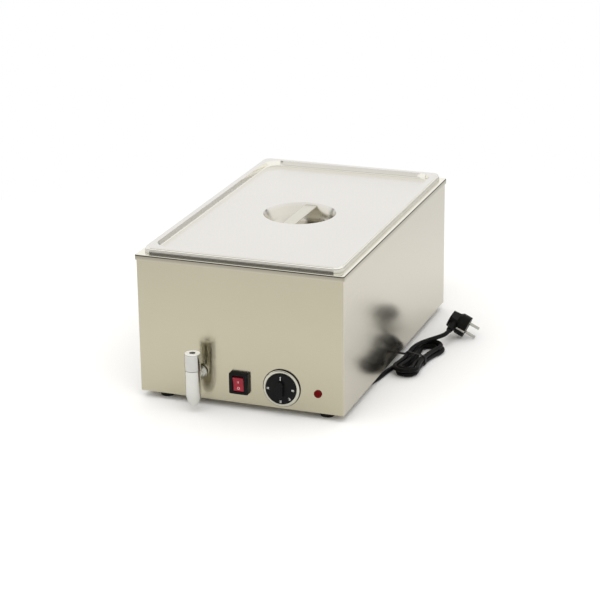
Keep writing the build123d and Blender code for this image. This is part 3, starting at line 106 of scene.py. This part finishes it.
class Recipe:
    """A node material with one Principled shader, built up by small steps."""

    def __init__(self, name, **sockets):
        self.material = bpy.data.materials.new(name)
        self.material.use_nodes = True
        self.tree = self.material.node_tree
        self.shader = self.tree.nodes["Principled BSDF"]
        for socket, value in sockets.items():
            self.shader.inputs[socket.replace("_", " ")].default_value = value

    def node(self, kind, **settings):
        made = self.tree.nodes.new("ShaderNode" + kind)
        for key, value in settings.items():
            setattr(made, key, value)
        return made

    def link(self, source, target):
        self.tree.links.new(source, target)

    def place(self, scale=(1, 1, 1)):
        """Object coordinates, stretched."""
        mapping = self.node("Mapping")
        mapping.inputs["Scale"].default_value = scale
        self.link(self.node("TexCoord").outputs["Object"], mapping.inputs["Vector"])
        return mapping.outputs["Vector"]

    def noise(self, vector, scale, detail, roughness):
        made = self.node("TexNoise")
        made.inputs["Scale"].default_value = scale
        made.inputs["Detail"].default_value = detail
        made.inputs["Roughness"].default_value = roughness
        self.link(vector, made.inputs["Vector"])
        return made.outputs["Fac"]

    def spread(self, value, low, high, start=NOISE_LOW, end=NOISE_HIGH):
        """A value from start to end turned into one from low to high."""
        made = self.node("MapRange")
        for key, number in (("From Min", start), ("From Max", end), ("To Min", low), ("To Max", high)):
            made.inputs[key].default_value = number
        self.link(value, made.inputs["Value"])
        return made.outputs["Result"]

    def calculate(self, operation, *values):
        """The result of a Math node for linked values and plain numbers."""
        made = self.node("Math", operation=operation)
        for socket, value in zip(made.inputs, values):
            if isinstance(value, float):
                socket.default_value = value
            else:
                self.link(value, socket)
        return made.outputs[0]

    def mix(self, factor, first, second):
        """A colour between two colours."""
        made = self.node("Mix", data_type="RGBA")
        self.link(factor, made.inputs["Factor"])
        for socket, colour in ((made.inputs[6], first), (made.inputs[7], second)):
            if isinstance(colour, tuple):
                socket.default_value = (*colour, 1)
            else:
                self.link(colour, socket)
        return made.outputs[2]

    def colour(self, output):
        self.link(output, self.shader.inputs["Base Color"])

    def rough(self, output):
        self.link(output, self.shader.inputs["Roughness"])

    def bump(self, height, strength):
        made = self.node("Bump")
        made.inputs["Strength"].default_value = strength
        made.inputs["Distance"].default_value = RELIEF_DEPTH
        self.link(height, made.inputs["Height"])
        self.link(made.outputs["Normal"], self.shader.inputs["Normal"])


def shade(colour, factor):
    return tuple(min(1.0, c * factor) for c in colour)


def steel(name, tint, rough, grain, contrast=0.05, stretch=0.0, lean=0.0, relief=0.04):
    """Brushed sheet: fine lines across the axes that grain gives, large soft marks and a stretched glint."""
    made = Recipe(name, Metallic=1.0, Anisotropic=stretch, Anisotropic_Rotation=lean)
    lines = made.noise(made.place(tuple(BRUSH_ACROSS if g else BRUSH_ALONG for g in grain)), *BRUSH_NOISE)
    clouds = made.noise(made.place(), *CLOUD_NOISE)
    streaked = made.mix(made.spread(lines, 0.0, 1.0), shade(tint, 1 - contrast), shade(tint, 1 + contrast))
    made.colour(made.mix(made.spread(clouds, 0.0, CLOUD_SHARE), streaked, shade(tint, CLOUD_TONE)))
    made.rough(made.spread(lines, *(rough * factor for factor in ROUGH_SPREAD)))
    made.bump(lines, relief)
    if stretch:
        tangent = made.node("Tangent", direction_type="RADIAL", axis="Z")
        made.link(tangent.outputs["Tangent"], made.shader.inputs["Tangent"])
    return made


def plated(name, tint, rough):
    """Polished plate with faint wiping marks."""
    made = Recipe(name, Metallic=1.0)
    marks = made.noise(made.place(), *WIPE_NOISE)
    made.colour(made.mix(made.spread(marks, 0.0, 1.0), tint, shade(tint, WIPE_TONE)))
    made.rough(made.spread(marks, rough, rough * WIPE_ROUGH))
    return made


def add_rough(made, where, extra):
    """More roughness, or less, where a value from 0 to 1 says so."""
    before = made.shader.inputs["Roughness"].links[0].from_socket
    made.rough(made.calculate("MULTIPLY_ADD", where, extra, before))


def add_tint(made, where, tint):
    """Another colour where a value from 0 to 1 says so."""
    made.colour(made.mix(where, made.shader.inputs["Base Color"].links[0].from_socket, tint))


def round_patch(made, centre, reach, inner, outer, axes=(1, 1, 0), fade=PATCH_FADE):
    """A round patch in the plane of two axes, with one value inside and another outside."""
    away = made.node("VectorMath", operation="DISTANCE")
    away.inputs[1].default_value = centre
    made.link(made.place(axes), away.inputs[0])
    return made.spread(away.outputs["Value"], inner, outer, reach * (1 - fade), reach)


def outlook(made, axis):
    """How far a face looks along an axis."""
    facing = made.node("SeparateXYZ")
    made.link(made.node("NewGeometry").outputs["Normal"], facing.inputs[0])
    return facing.outputs[axis]


def satin_top_painted_highlight(made, extra, tint):
    """Satin on the faces that look up, as a turned end is, with a painted highlight: a much lighter colour
    on those faces.
    """
    above = made.spread(outlook(made, "Z"), 0.0, 1.0, *FACING)
    add_rough(made, above, extra)
    add_tint(made, above, tint)
    made.link(made.spread(above, 1.0, SATIN_METAL, 0.0, 1.0), made.shader.inputs["Metallic"])


def glossy_walls_painted_sheen(made, where, less, tint):
    """Glossier on the faces that look sideways, as a drawn rim is, and brighter there with a painted sheen.
    """
    walls = made.calculate("MULTIPLY", made.spread(outlook(made, "Z"), 1.0, 0.0, *WALL_FACING), where)
    add_rough(made, walls, -less)
    add_tint(made, walls, tint)


def paint_side_light(made, tint):
    """Painted light: a lighter colour on the left and right sides, standing in for the brighter light they
    catch.
    """
    across = made.calculate("ABSOLUTE", outlook(made, "X"))
    add_tint(made, made.spread(across, 0.0, 1.0, *FACING), tint)


def paint_flange_light_and_reflection(made, top):
    """The tank's flange with painted light: a painted highlight on top, and a painted dark reflection as a
    line at its edge that fades down the lip.
    """
    height = made.node("SeparateXYZ")
    made.link(made.place(), height.inputs[0])
    above = made.spread(outlook(made, "Z"), 0.0, 1.0, *FACING)
    walls = made.spread(above, 1.0, 0.0, 0.0, 1.0)
    layers = ((FLANGE_PAINTED_HIGHLIGHT, above, LIP_DROP), (LIP_PAINTED_REFLECTION, walls, LIP_DROP), (EDGE_PAINTED_REFLECTION, walls, LINE_DROP))
    for tint, facing, (end, start) in layers:
        near = made.spread(height.outputs["Z"], 0.0, 1.0, top - end, top - start)
        add_tint(made, made.calculate("MULTIPLY", near, facing), tint)


def moulded(name, tint, rough, grain=900.0, depth=0.12, gloss=0.5):
    """Moulded plastic or rubber with a fine even texture and slight unevenness of tone."""
    made = Recipe(name, Specular_IOR_Level=gloss)
    fine = made.noise(made.place(), grain, GRAIN_DETAIL, GRAIN_ROUGH)
    broad = made.noise(made.place(), *TONE_NOISE)
    made.colour(made.mix(made.spread(broad, 0.0, 1.0), *(shade(tint, factor) for factor in TONE_SPREAD)))
    made.rough(made.spread(fine, *(rough * factor for factor in ROUGH_SPREAD)))
    made.bump(fine, depth)
    return made


# Which axes the brushed lines lie across, and the places and tints of dressed regions, where the tints are
# painted light and shade; a drop is measured down from the flange's top, to where the tint ends and where it
# is full
LEVEL_LINES = (0, 0, 1)
TOP_LINES = (1, 0, 0)
ALL_WAYS = (1, 1, 1)
# Painted light: the casing's left and right sides are coloured lighter than its front
SIDE_PAINTED_LIGHT = (0.54, 0.51, 0.43)
RECESS_RADIUS = 0.060
# Painted shade: a darker, warmer colour inside the lid's recess
RECESS_PAINTED_SHADE = (0.74, 0.715, 0.645)
RECESS_ROUGH = 0.04
RIM_AWAY = 1.2
# Painted sheen: the lid rim's sideways faces are coloured brighter than the lid
RIM_PAINTED_SHEEN = (0.92, 0.905, 0.84)
RIM_POLISH = 0.12
RING_FOOT = 0.0299
RING_FOOT_FADE = 0.012
# Painted shade: a near-black band round the dial ring's outer edge, where it meets the panel
RING_EDGE_PAINTED_SHADE = (0.02, 0.02, 0.018)
# Painted highlight: the tap cap's upward faces are coloured near white
TAP_TOP_PAINTED_HIGHLIGHT = (0.93, 0.92, 0.88)
TAP_TOP_ROUGH = 0.5
# Painted light on the tank's flange: a painted highlight on its top, and a painted dark reflection along its
# edge and down its lip
FLANGE_PAINTED_HIGHLIGHT = (0.90, 0.88, 0.80)
LIP_PAINTED_REFLECTION = (0.36, 0.335, 0.265)
LIP_DROP = (0.0085, 0.0045)
EDGE_PAINTED_REFLECTION = (0.07, 0.065, 0.05)
LINE_DROP = (0.0025, 0.0014)
casing_steel = steel(
    "casing_steel", (0.497, 0.464, 0.352), 0.19, LEVEL_LINES, contrast=0.015, stretch=0.65, lean=0.25,
    relief=0.012,
)
# Painted light on the casing's sides
paint_side_light(casing_steel, SIDE_PAINTED_LIGHT)
tank_steel = steel("tank_steel", (0.52, 0.49, 0.40), 0.10, LEVEL_LINES, contrast=0.02, relief=0.015)
# Painted highlight on the flange's top and painted dark reflection along its edge and down its lip
paint_flange_light_and_reflection(tank_steel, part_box("tank")[1][2])
pan_steel = steel("pan_steel", (0.70, 0.685, 0.63), 0.12, LEVEL_LINES, contrast=0.02, relief=0.015)
lid_steel = steel("lid_steel", (0.80, 0.785, 0.765), 0.2, TOP_LINES, contrast=0.015, relief=0.02)
strap_steel = steel("strap_steel", (0.71, 0.69, 0.62), 0.3, TOP_LINES, contrast=0.015, relief=0.02)
strap_low, strap_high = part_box("lid_handle")
recess_centre = ((strap_low[0] + strap_high[0]) / 2, (strap_low[1] + strap_high[1]) / 2, 0.0)
lid_recess = round_patch(lid_steel, recess_centre, RECESS_RADIUS, 1.0, 0.0)
lid_round = round_patch(lid_steel, recess_centre, RECESS_RADIUS * RIM_AWAY, 0.0, 1.0)
add_rough(lid_steel, lid_recess, RECESS_ROUGH)
# Painted shade inside the recess; the recess is also a little rougher
add_tint(lid_steel, lid_recess, RECESS_PAINTED_SHADE)
# Glossier rim walls with a painted sheen
glossy_walls_painted_sheen(lid_steel, lid_round, RIM_POLISH, RIM_PAINTED_SHEEN)
hardware_steel = steel("hardware_steel", (0.55, 0.55, 0.54), 0.3, ALL_WAYS)
sheath_steel = steel("sheath_steel", (0.26, 0.24, 0.22), 0.42, ALL_WAYS, contrast=0.15)
chrome = plated("chrome", (0.68, 0.68, 0.65), 0.06)
ring_chrome = plated("ring_chrome", (0.55, 0.54, 0.46), 0.06)
knob_axis = (KNOB_X, 0.0, CONTROL_Z)
# Painted shade along the ring's outer edge
ring_edge_shade = round_patch(ring_chrome, knob_axis, RING_FOOT, 0.0, 1.0, (1, 0, 1), RING_FOOT_FADE)
add_tint(ring_chrome, ring_edge_shade, RING_EDGE_PAINTED_SHADE)
tap_chrome = plated("tap_chrome", (0.65, 0.65, 0.62), 0.14)
tap_satin = plated("tap_satin", (0.55, 0.55, 0.525), 0.14)
# Satin top of the tap's cap, with a painted highlight
satin_top_painted_highlight(tap_satin, TAP_TOP_ROUGH, TAP_TOP_PAINTED_HIGHLIGHT)
nickel = plated("nickel", (0.50, 0.49, 0.45), 0.16)
brass = plated("brass", (0.72, 0.52, 0.22), 0.22)
copper = plated("copper", (0.72, 0.38, 0.24), 0.24)
black_plastic = moulded("black_plastic", (0.004, 0.004, 0.004), 0.38, gloss=0.12)
plug_plastic = moulded("plug_plastic", (0.004, 0.004, 0.0035), 0.42, gloss=0.09)
red_plastic = moulded("red_plastic", (0.29, 0.02, 0.034), 0.3, depth=0.03, gloss=0.2)
red_lens = moulded("red_lens", (0.115, 0.0015, 0.002), 0.25, depth=0.02, gloss=0.06)
light_plastic = moulded("light_plastic", (0.72, 0.70, 0.64), 0.45)
dark_moulding = moulded("dark_moulding", (0.05, 0.038, 0.03), 0.4)
cord_rubber = moulded("cord_rubber", (0.003, 0.003, 0.003), 0.4, grain=600.0, gloss=0.09)
tie_plastic = moulded("tie_plastic", (0.005, 0.005, 0.005), 0.4, gloss=0.16)
foot_rubber = moulded("foot_rubber", (0.006, 0.006, 0.006), 0.62, gloss=0.2)
hose_silicone = moulded("hose_silicone", (0.62, 0.60, 0.55), 0.4)
print_white = moulded("print_white", (0.85, 0.85, 0.83), 0.5, depth=0.03)

dress = {
    casing_steel: ["casing", "base_plate"],
    tank_steel: ["tank"],
    pan_steel: ["pan"],
    lid_steel: ["lid"],
    strap_steel: ["lid_handle"],
    hardware_steel: [
        "base_screws", "foot_screws", "foot_nuts", "tank_studs", "stud_nuts", "element_clamps", "bulb_clip",
        "terminal_screws", "earth_screw", "hose_clamps", "thermostat_screws", "switch_pin", "lamp_nut",
        "tap_handle_screw",
    ],
    sheath_steel: ["heating_element"],
    chrome: ["tap_bonnet"],
    ring_chrome: ["dial_ring"],
    tap_chrome: ["tap_body"],
    tap_satin: ["tap_handle"],
    nickel: [
        "plug_pins", "plug_earth_clips", "switch_terminals", "thermostat_terminals", "element_terminals",
    ],
    brass: ["drain_elbow", "tap_plug", "tap_locknut", "thermostat_spindle"],
    copper: ["thermostat_bulb"],
    black_plastic: ["knob", "switch_housing"],
    plug_plastic: ["plug_body"],
    red_plastic: ["switch_rocker"],
    red_lens: ["lamp_lens"],
    light_plastic: ["lamp_holder", "terminal_block", "cord_clamp"],
    dark_moulding: ["thermostat_body", "thermal_cutout"],
    cord_rubber: ["cord_lead", "cord_hank", "cord_tail", "cord_inner", "cord_boot"],
    tie_plastic: ["cord_tie"],
    foot_rubber: [
        "foot_front_left", "foot_front_right", "foot_rear_left", "foot_rear_right",
        "tap_washer", "tap_o_ring",
    ],
    hose_silicone: ["drain_hose"],
}
for recipe, names in dress.items():
    for name in names:
        nodes[name].data.materials.clear()
        nodes[name].data.materials.append(recipe.material)


# Printed marks: the dial's line and numbers, and the I and O of the switch
PRINT_THICK = 0.00015
DIAL_LINE = (0.0008, 0.0145, 0.0208)
DIAL_NUMBERS = (("30", 270), ("50", 180), ("70", 135), ("90", 90))
DIAL_NUMBER_RADIUS = 0.0202
DIAL_NUMBER_SIZE = 0.0046
SWITCH_LINE = (0.0009, 0.0012, 0.0048)
SWITCH_RING = (0.0020, 0.0015)
SWITCH_RING_DROP = 0.0072
ROUND_STEPS = 24
LINE_STEPS = 6
NUMBER_STEPS = 3


def line_mesh(name, width, start, end):
    """A strip upwards from start to end."""
    levels = [start + (end - start) * i / LINE_STEPS for i in range(LINE_STEPS + 1)]
    points = [(side * width / 2, level, 0) for level in levels for side in (-1, 1)]
    faces = [(2 * i, 2 * i + 1, 2 * i + 3, 2 * i + 2) for i in range(LINE_STEPS)]
    mesh = bpy.data.meshes.new(name)
    mesh.from_pydata(points, [], faces)
    return mesh


def ring_mesh(name, outer, inner):
    turns = [2 * math.pi * i / ROUND_STEPS for i in range(ROUND_STEPS)]
    points = [(r * math.cos(a), r * math.sin(a), 0) for a in turns for r in (outer, inner)]
    count = 2 * ROUND_STEPS
    faces = [(i, (i + 2) % count, (i + 3) % count, i + 1) for i in range(0, count, 2)]
    mesh = bpy.data.meshes.new(name)
    mesh.from_pydata(points, [], faces)
    return mesh


def number_mesh(name, words, size):
    data = bpy.data.curves.new(name, "FONT")
    data.body = words
    data.size = size
    data.align_x = "CENTER"
    data.align_y = "CENTER"
    data.resolution_u = NUMBER_STEPS
    holder = bpy.data.objects.new(name, data)
    scene.collection.objects.link(holder)
    bpy.context.view_layer.update()
    mesh = bpy.data.meshes.new_from_object(holder)
    bpy.data.objects.remove(holder)
    return mesh


def print_mark(name, mesh, centre, turn, node, body):
    """Lays a flat mesh on the front of a node, turned clockwise, and gives it a little thickness."""
    skin = nodes[node].data
    surface = BVHTree.FromPolygons([v.co for v in skin.vertices], [f.vertices for f in skin.polygons])
    cos, sin = math.cos(turn), math.sin(turn)
    for vertex in mesh.vertices:
        across, up = vertex.co.xy
        x = centre[0] + across * cos + up * sin
        z = centre[1] - across * sin + up * cos
        hit = surface.ray_cast(Vector((x, 2 * PANEL_Y, z)), Vector((0, 1, 0)))
        vertex.co = hit[0] + hit[1] * PRINT_THICK / 2
    mesh.materials.clear()
    mesh.materials.append(print_white.material)
    mark = bpy.data.objects.new(name, mesh)
    scene.collection.objects.link(mark)
    coat = mark.modifiers.new("thickness", "SOLIDIFY")
    coat.thickness = PRINT_THICK
    coat.offset = -1
    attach(mark, body)


def make_marks():
    dial = (KNOB_X, CONTROL_Z)
    print_mark("dial_line", line_mesh("dial_line", *DIAL_LINE), dial, 0.0, "knob", "dial")
    for words, degrees in DIAL_NUMBERS:
        turn = math.radians(degrees)
        across, up = DIAL_NUMBER_RADIUS * math.sin(turn), DIAL_NUMBER_RADIUS * math.cos(turn)
        place = (KNOB_X + across, CONTROL_Z + up)
        name = "dial_number_" + words
        mesh = number_mesh(name, words, DIAL_NUMBER_SIZE)
        print_mark(name, mesh, place, turn - math.pi / 2, "knob", "dial")
    switch = (SWITCH_X, CONTROL_Z)
    line = line_mesh("switch_line", *SWITCH_LINE)
    print_mark("switch_line", line, switch, 0.0, "switch_rocker", "rocker")
    low = (SWITCH_X, CONTROL_Z - SWITCH_RING_DROP)
    ring = ring_mesh("switch_ring", *SWITCH_RING)
    print_mark("switch_ring", ring, low, 0.0, "switch_rocker", "rocker")


make_marks()


# Mains cord: one smooth line of lead, hank and tail, with the route's points in metres
CORD_RADIUS = 0.0036
CORD_ROUND = 6
CORD_STEPS = 8
HANK_PLACE = Vector((0.203, 0.0172, 0.0))
HANK_HEADING = math.radians(86.0)
HANK_LOOPS = 3
HANK_QUARTERS = 4 * HANK_LOOPS
HANK_LOW = 0.005
HANK_LAYER = 0.008
HANK_HIGH = HANK_LOW + HANK_LAYER
HANK_REAR = 0.084
HANK_FRONT = 0.065
HANK_WAIST = 0.0154
HANK_REAR_LOBE = 0.0325
HANK_FRONT_LOBE = 0.027
HANK_TIP_STEP = 0.0079
HANK_WAIST_STEP = 0.008
HANK_LOBE_STEP = 0.011
HANK_JOIN = (0.008, 0.024)
HANK_END_RISE = 0.0037
HANK_END_SLOPE = 0.14
LEAD_LAST_RUN = 0.012
TAIL_FIRST_RUN = 0.010
TAIL_LAST_RUN = 0.009
PLUG_FACE = Vector((0.2486, 0.1597, 0.0194))
PLUG_TILT = math.radians(25.0)
PLUG_ROLL = math.radians(9.0)
SLEEVE_BACK = 0.022
SLEEVE_END = 0.034
hank_along = Vector((math.cos(HANK_HEADING), math.sin(HANK_HEADING), 0))
hank_across = Vector((-math.sin(HANK_HEADING), math.cos(HANK_HEADING), 0))


def hank_world(point):
    return HANK_PLACE + hank_along * point.x + hank_across * point.y + Vector((0, 0, point.z))


def hank_node(k):
    """Place and direction of the cord after k quarter loops, x along the hank and y across it."""
    inset = min(k, HANK_QUARTERS - k) / 4
    waist = HANK_WAIST - HANK_WAIST_STEP * inset
    rear = HANK_REAR - HANK_TIP_STEP * inset
    front = HANK_FRONT - HANK_TIP_STEP * inset
    x, y = [(0, waist), (rear, 0), (0, -waist), (-front, 0)][k % 4]
    run, side = [(1, 0), (0, -1), (-1, 0), (0, 1)][k % 4]
    z, climb = (HANK_LOW, 0) if 2 * k < HANK_QUARTERS else (HANK_HIGH, 0)
    if k == 0:
        x, y = HANK_JOIN
    if 2 * k == HANK_QUARTERS:
        z, climb = (HANK_LOW + HANK_HIGH) / 2, HANK_LAYER / HANK_FRONT
    if k == HANK_QUARTERS:
        z, climb = HANK_HIGH + HANK_END_RISE, HANK_END_SLOPE
    return Vector((x, y, z)), Vector((run, side, climb)).normalized()


def bends(start, start_way, end, end_way, reach):
    """The two corners between a start and an end, each with its arc's ends."""
    chord = end - start
    other = (chord.dot(chord) - 2 * reach * chord.dot(start_way)) / (
        2 * (reach * (1 - start_way.dot(end_way)) + chord.dot(end_way))
    )
    first = start + start_way * reach
    second = end - end_way * other
    joint = (first * other + second * reach) / (reach + other)
    return [(start, first, joint), (joint, second, end)]


def hank_points():
    """Control points of the loops, sixteen to a loop."""
    points = []
    for k in range(HANK_QUARTERS):
        (start, start_way), (end, end_way) = hank_node(k), hank_node(k + 1)
        tip = k if k % 2 else k + 1
        lobe = HANK_REAR_LOBE if tip % 4 == 1 else HANK_FRONT_LOBE
        lobe -= HANK_LOBE_STEP * min(tip, HANK_QUARTERS - tip) / 4
        if tip == k:
            pair = bends(start, start_way, end, end_way, lobe)
        else:
            pair = [(c, b, a) for a, b, c in reversed(bends(end, -end_way, start, -start_way, lobe))]
        for a, corner, b in pair:
            weight = (b - a).length / ((corner - a).length + (b - corner).length)
            points += [(a + corner * weight) / (1 + weight), (corner * weight + b) / (1 + weight)]
    return [hank_world(p) for p in points]


hank_start, start_way = hank_node(0)
hank_end, end_way = hank_node(HANK_QUARTERS)
hank_first = hank_start - start_way * (2 * CORD_RADIUS)
hank_last = hank_end + end_way * (2 * CORD_RADIUS)
plug_way = Vector((math.cos(PLUG_TILT), 0, -math.sin(PLUG_TILT)))
sleeve_way = Vector((
    -math.sin(PLUG_TILT) * math.sin(PLUG_ROLL),
    -math.cos(PLUG_ROLL),
    -math.cos(PLUG_TILT) * math.sin(PLUG_ROLL),
))
tail_end = PLUG_FACE - plug_way * SLEEVE_BACK + sleeve_way * SLEEVE_END
cord_exit = Vector((0.140, -0.17335, 0.0205))
lead_points = [
    cord_exit,
    (0.1400, -0.1593, 0.0205),
    (0.1415, -0.1438, 0.0159),
    (0.1452, -0.1288, 0.0089),
    (0.1506, -0.1133, 0.0046),
    (0.1569, -0.0963, 0.0038),
    (0.1626, -0.0778, 0.0038),
    (0.1660, -0.0584, 0.0038),
    (0.1682, -0.0393, 0.0038),
    (0.1713, -0.0218, 0.0039),
    (0.1754, -0.0063, 0.0043),
    hank_world(hank_first - start_way * LEAD_LAST_RUN),
    hank_world(hank_first),
]
tail_points = [
    hank_world(hank_last),
    hank_world(hank_last + end_way * TAIL_FIRST_RUN),
    (0.1909, 0.0462, 0.0204),
    (0.1946, 0.0568, 0.0211),
    (0.1993, 0.0675, 0.0214),
    (0.2049, 0.0780, 0.0213),
    (0.2110, 0.0883, 0.0212),
    (0.2173, 0.0985, 0.0213),
    (0.2229, 0.1083, 0.0216),
    tail_end + sleeve_way * TAIL_LAST_RUN,
    tail_end,
]


def make_cord():
    data = bpy.data.curves.new("mains_cord", "CURVE")
    data.dimensions = "3D"
    data.bevel_depth = CORD_RADIUS
    data.bevel_resolution = CORD_ROUND
    data.resolution_u = CORD_STEPS
    data.use_fill_caps = True
    route = [*lead_points, *hank_points(), *tail_points]
    spline = data.splines.new("NURBS")
    spline.points.add(len(route) - 1)
    for point, place in zip(spline.points, route):
        point.co = (*place, 1.0)
    spline.order_u = 3
    spline.use_endpoint_u = True
    spline.resolution_u = CORD_STEPS
    data.materials.append(cord_rubber.material)
    cord = bpy.data.objects.new("mains_cord", data)
    scene.collection.objects.link(cord)
    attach(cord, "cabinet")
    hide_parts("cord_lead", "cord_hank", "cord_tail")


make_cord()


# Lamps, each with its place, its size in metres and its power in watts
LAMP_AIM = Vector((0, 0, 0.1))
LAMPS = (
    ("front_top", (0.3, -2.0, 2.6), (4.0, 2.6), 36),
    ("overhead", (-0.2, 0.1, 2.8), (4.0, 4.0), 20),
)


def area_light(name, place, size, power):
    """A soft lamp that metal doesn't mirror."""
    data = bpy.data.lights.new(name, "AREA")
    data.shape = "RECTANGLE"
    data.size, data.size_y = size
    data.energy = power
    light = bpy.data.objects.new(name, data)
    scene.collection.objects.link(light)
    light.visible_glossy = False
    light.location = place
    light.rotation_euler = (LAMP_AIM - Vector(place)).to_track_quat("-Z", "Y").to_euler()


for lamp in LAMPS:
    area_light(*lamp)

# The studio is white all round, less so above, with a dim gap in front and two low ones; a gap has
# its level direction, how near to that direction it fades, and the heights where it starts and ends
WORLD_TINT = (1.0, 0.99, 0.97, 1)
WORLD_WHITE = 1.0
WORLD_TOP = 0.85
WORLD_DIM = 0.22
TOP_EDGE = (0.6, 0.9)
FRONT_GAP = ((-0.352, -0.936, 0.0), (0.88, 0.98), (0.11, 0.20), (0.44, 0.64))
BACK_GAP = ((0.259, 0.966, 0.0), (0.92, 0.955), (0.09, 0.14), (0.22, 0.28))
LEFT_GAP = ((-1.0, 0.0, 0.0), (0.77, 0.87), (0.10, 0.15), (0.22, 0.28))


def world_node(kind, **settings):
    made = scene.world.node_tree.nodes.new("ShaderNode" + kind)
    for key, value in settings.items():
        setattr(made, key, value)
    return made


def world_range(value, limits, low, high):
    made = world_node("MapRange", interpolation_type="SMOOTHSTEP")
    for slot, number in enumerate((*limits, low, high), 1):
        made.inputs[slot].default_value = number
    scene.world.node_tree.links.new(value, made.inputs[0])
    return made.outputs[0]


def world_product(first, second):
    made = world_node("Math", operation="MULTIPLY")
    scene.world.node_tree.links.new(first, made.inputs[0])
    scene.world.node_tree.links.new(second, made.inputs[1])
    return made.outputs[0]


def world_vector(operation, first, second=None):
    made = world_node("VectorMath", operation=operation)
    scene.world.node_tree.links.new(first, made.inputs[0])
    if second:
        made.inputs[1].default_value = second
    return made.outputs["Value" if operation == "DOT_PRODUCT" else "Vector"]


def world_gap(level_way, height, heading, edge, start, end):
    """How bright the world stays in one dim gap."""
    facing = world_range(world_vector("DOT_PRODUCT", level_way, heading), edge, 0.0, 1.0)
    above = world_range(height, start, 0.0, 1.0)
    below = world_range(height, end, 1.0, 0.0)
    return world_range(world_product(facing, world_product(above, below)), (0.0, 1.0), 1.0, WORLD_DIM)


def make_world():
    scene.world = bpy.data.worlds.new("studio")
    scene.world.use_nodes = True
    tree = scene.world.node_tree
    way = world_node("TexCoord").outputs["Generated"]
    height = world_node("SeparateXYZ")
    tree.links.new(way, height.inputs[0])
    level_way = world_vector("NORMALIZE", world_vector("MULTIPLY", way, (1, 1, 0)))
    light = world_range(height.outputs["Z"], TOP_EDGE, WORLD_WHITE, WORLD_TOP)
    for gap in (FRONT_GAP, BACK_GAP, LEFT_GAP):
        light = world_product(light, world_gap(level_way, height.outputs["Z"], *gap))
    background = tree.nodes["Background"]
    background.inputs["Color"].default_value = WORLD_TINT
    tree.links.new(light, background.inputs["Strength"])


make_world()
scene.view_settings.view_transform = "Standard"

# White paper floor: its own colour and shadow near the object, plain white further off
FLOOR_HALF = 12.0
NEAR, FAR = 0.55, 1.1
PAPER_NOISE = (2.0, 2.0, 0.5)
PAPER_TONES = ((0.93, 0.93, 0.93), (0.95, 0.95, 0.95))
PAPER_ROUGH, PAPER_GLOSS = 0.9, 0.1


def make_floor():
    mesh = bpy.data.meshes.new("floor")
    form = bmesh.new()
    bmesh.ops.create_grid(form, x_segments=1, y_segments=1, size=FLOOR_HALF)
    form.to_mesh(mesh)
    form.free()
    floor = bpy.data.objects.new("floor", mesh)
    scene.collection.objects.link(floor)
    paint = Recipe("floor_paper", Roughness=PAPER_ROUGH, Specular_IOR_Level=PAPER_GLOSS)
    tone = paint.noise(paint.place(), *PAPER_NOISE)
    paint.colour(paint.mix(paint.spread(tone, 0.0, 1.0), *PAPER_TONES))
    reach = paint.node("VectorMath", operation="LENGTH")
    paint.link(paint.place(), reach.inputs[0])
    seen = paint.node("LightPath").outputs
    mirrored = paint.calculate("MAXIMUM", seen["Is Camera Ray"], seen["Is Glossy Ray"])
    shown = paint.calculate("MAXIMUM", mirrored, seen["Is Transmission Ray"])
    far_off = paint.spread(reach.outputs["Value"], 0.0, 1.0, NEAR, FAR)
    share = paint.calculate("MULTIPLY", shown, far_off)
    white = paint.node("Emission")
    blend = paint.node("MixShader")
    for slot, source in enumerate((share, paint.shader.outputs[0], white.outputs[0])):
        paint.link(source, blend.inputs[slot])
    paint.link(blend.outputs[0], paint.tree.nodes["Material Output"].inputs["Surface"])
    mesh.materials.append(paint.material)


make_floor()
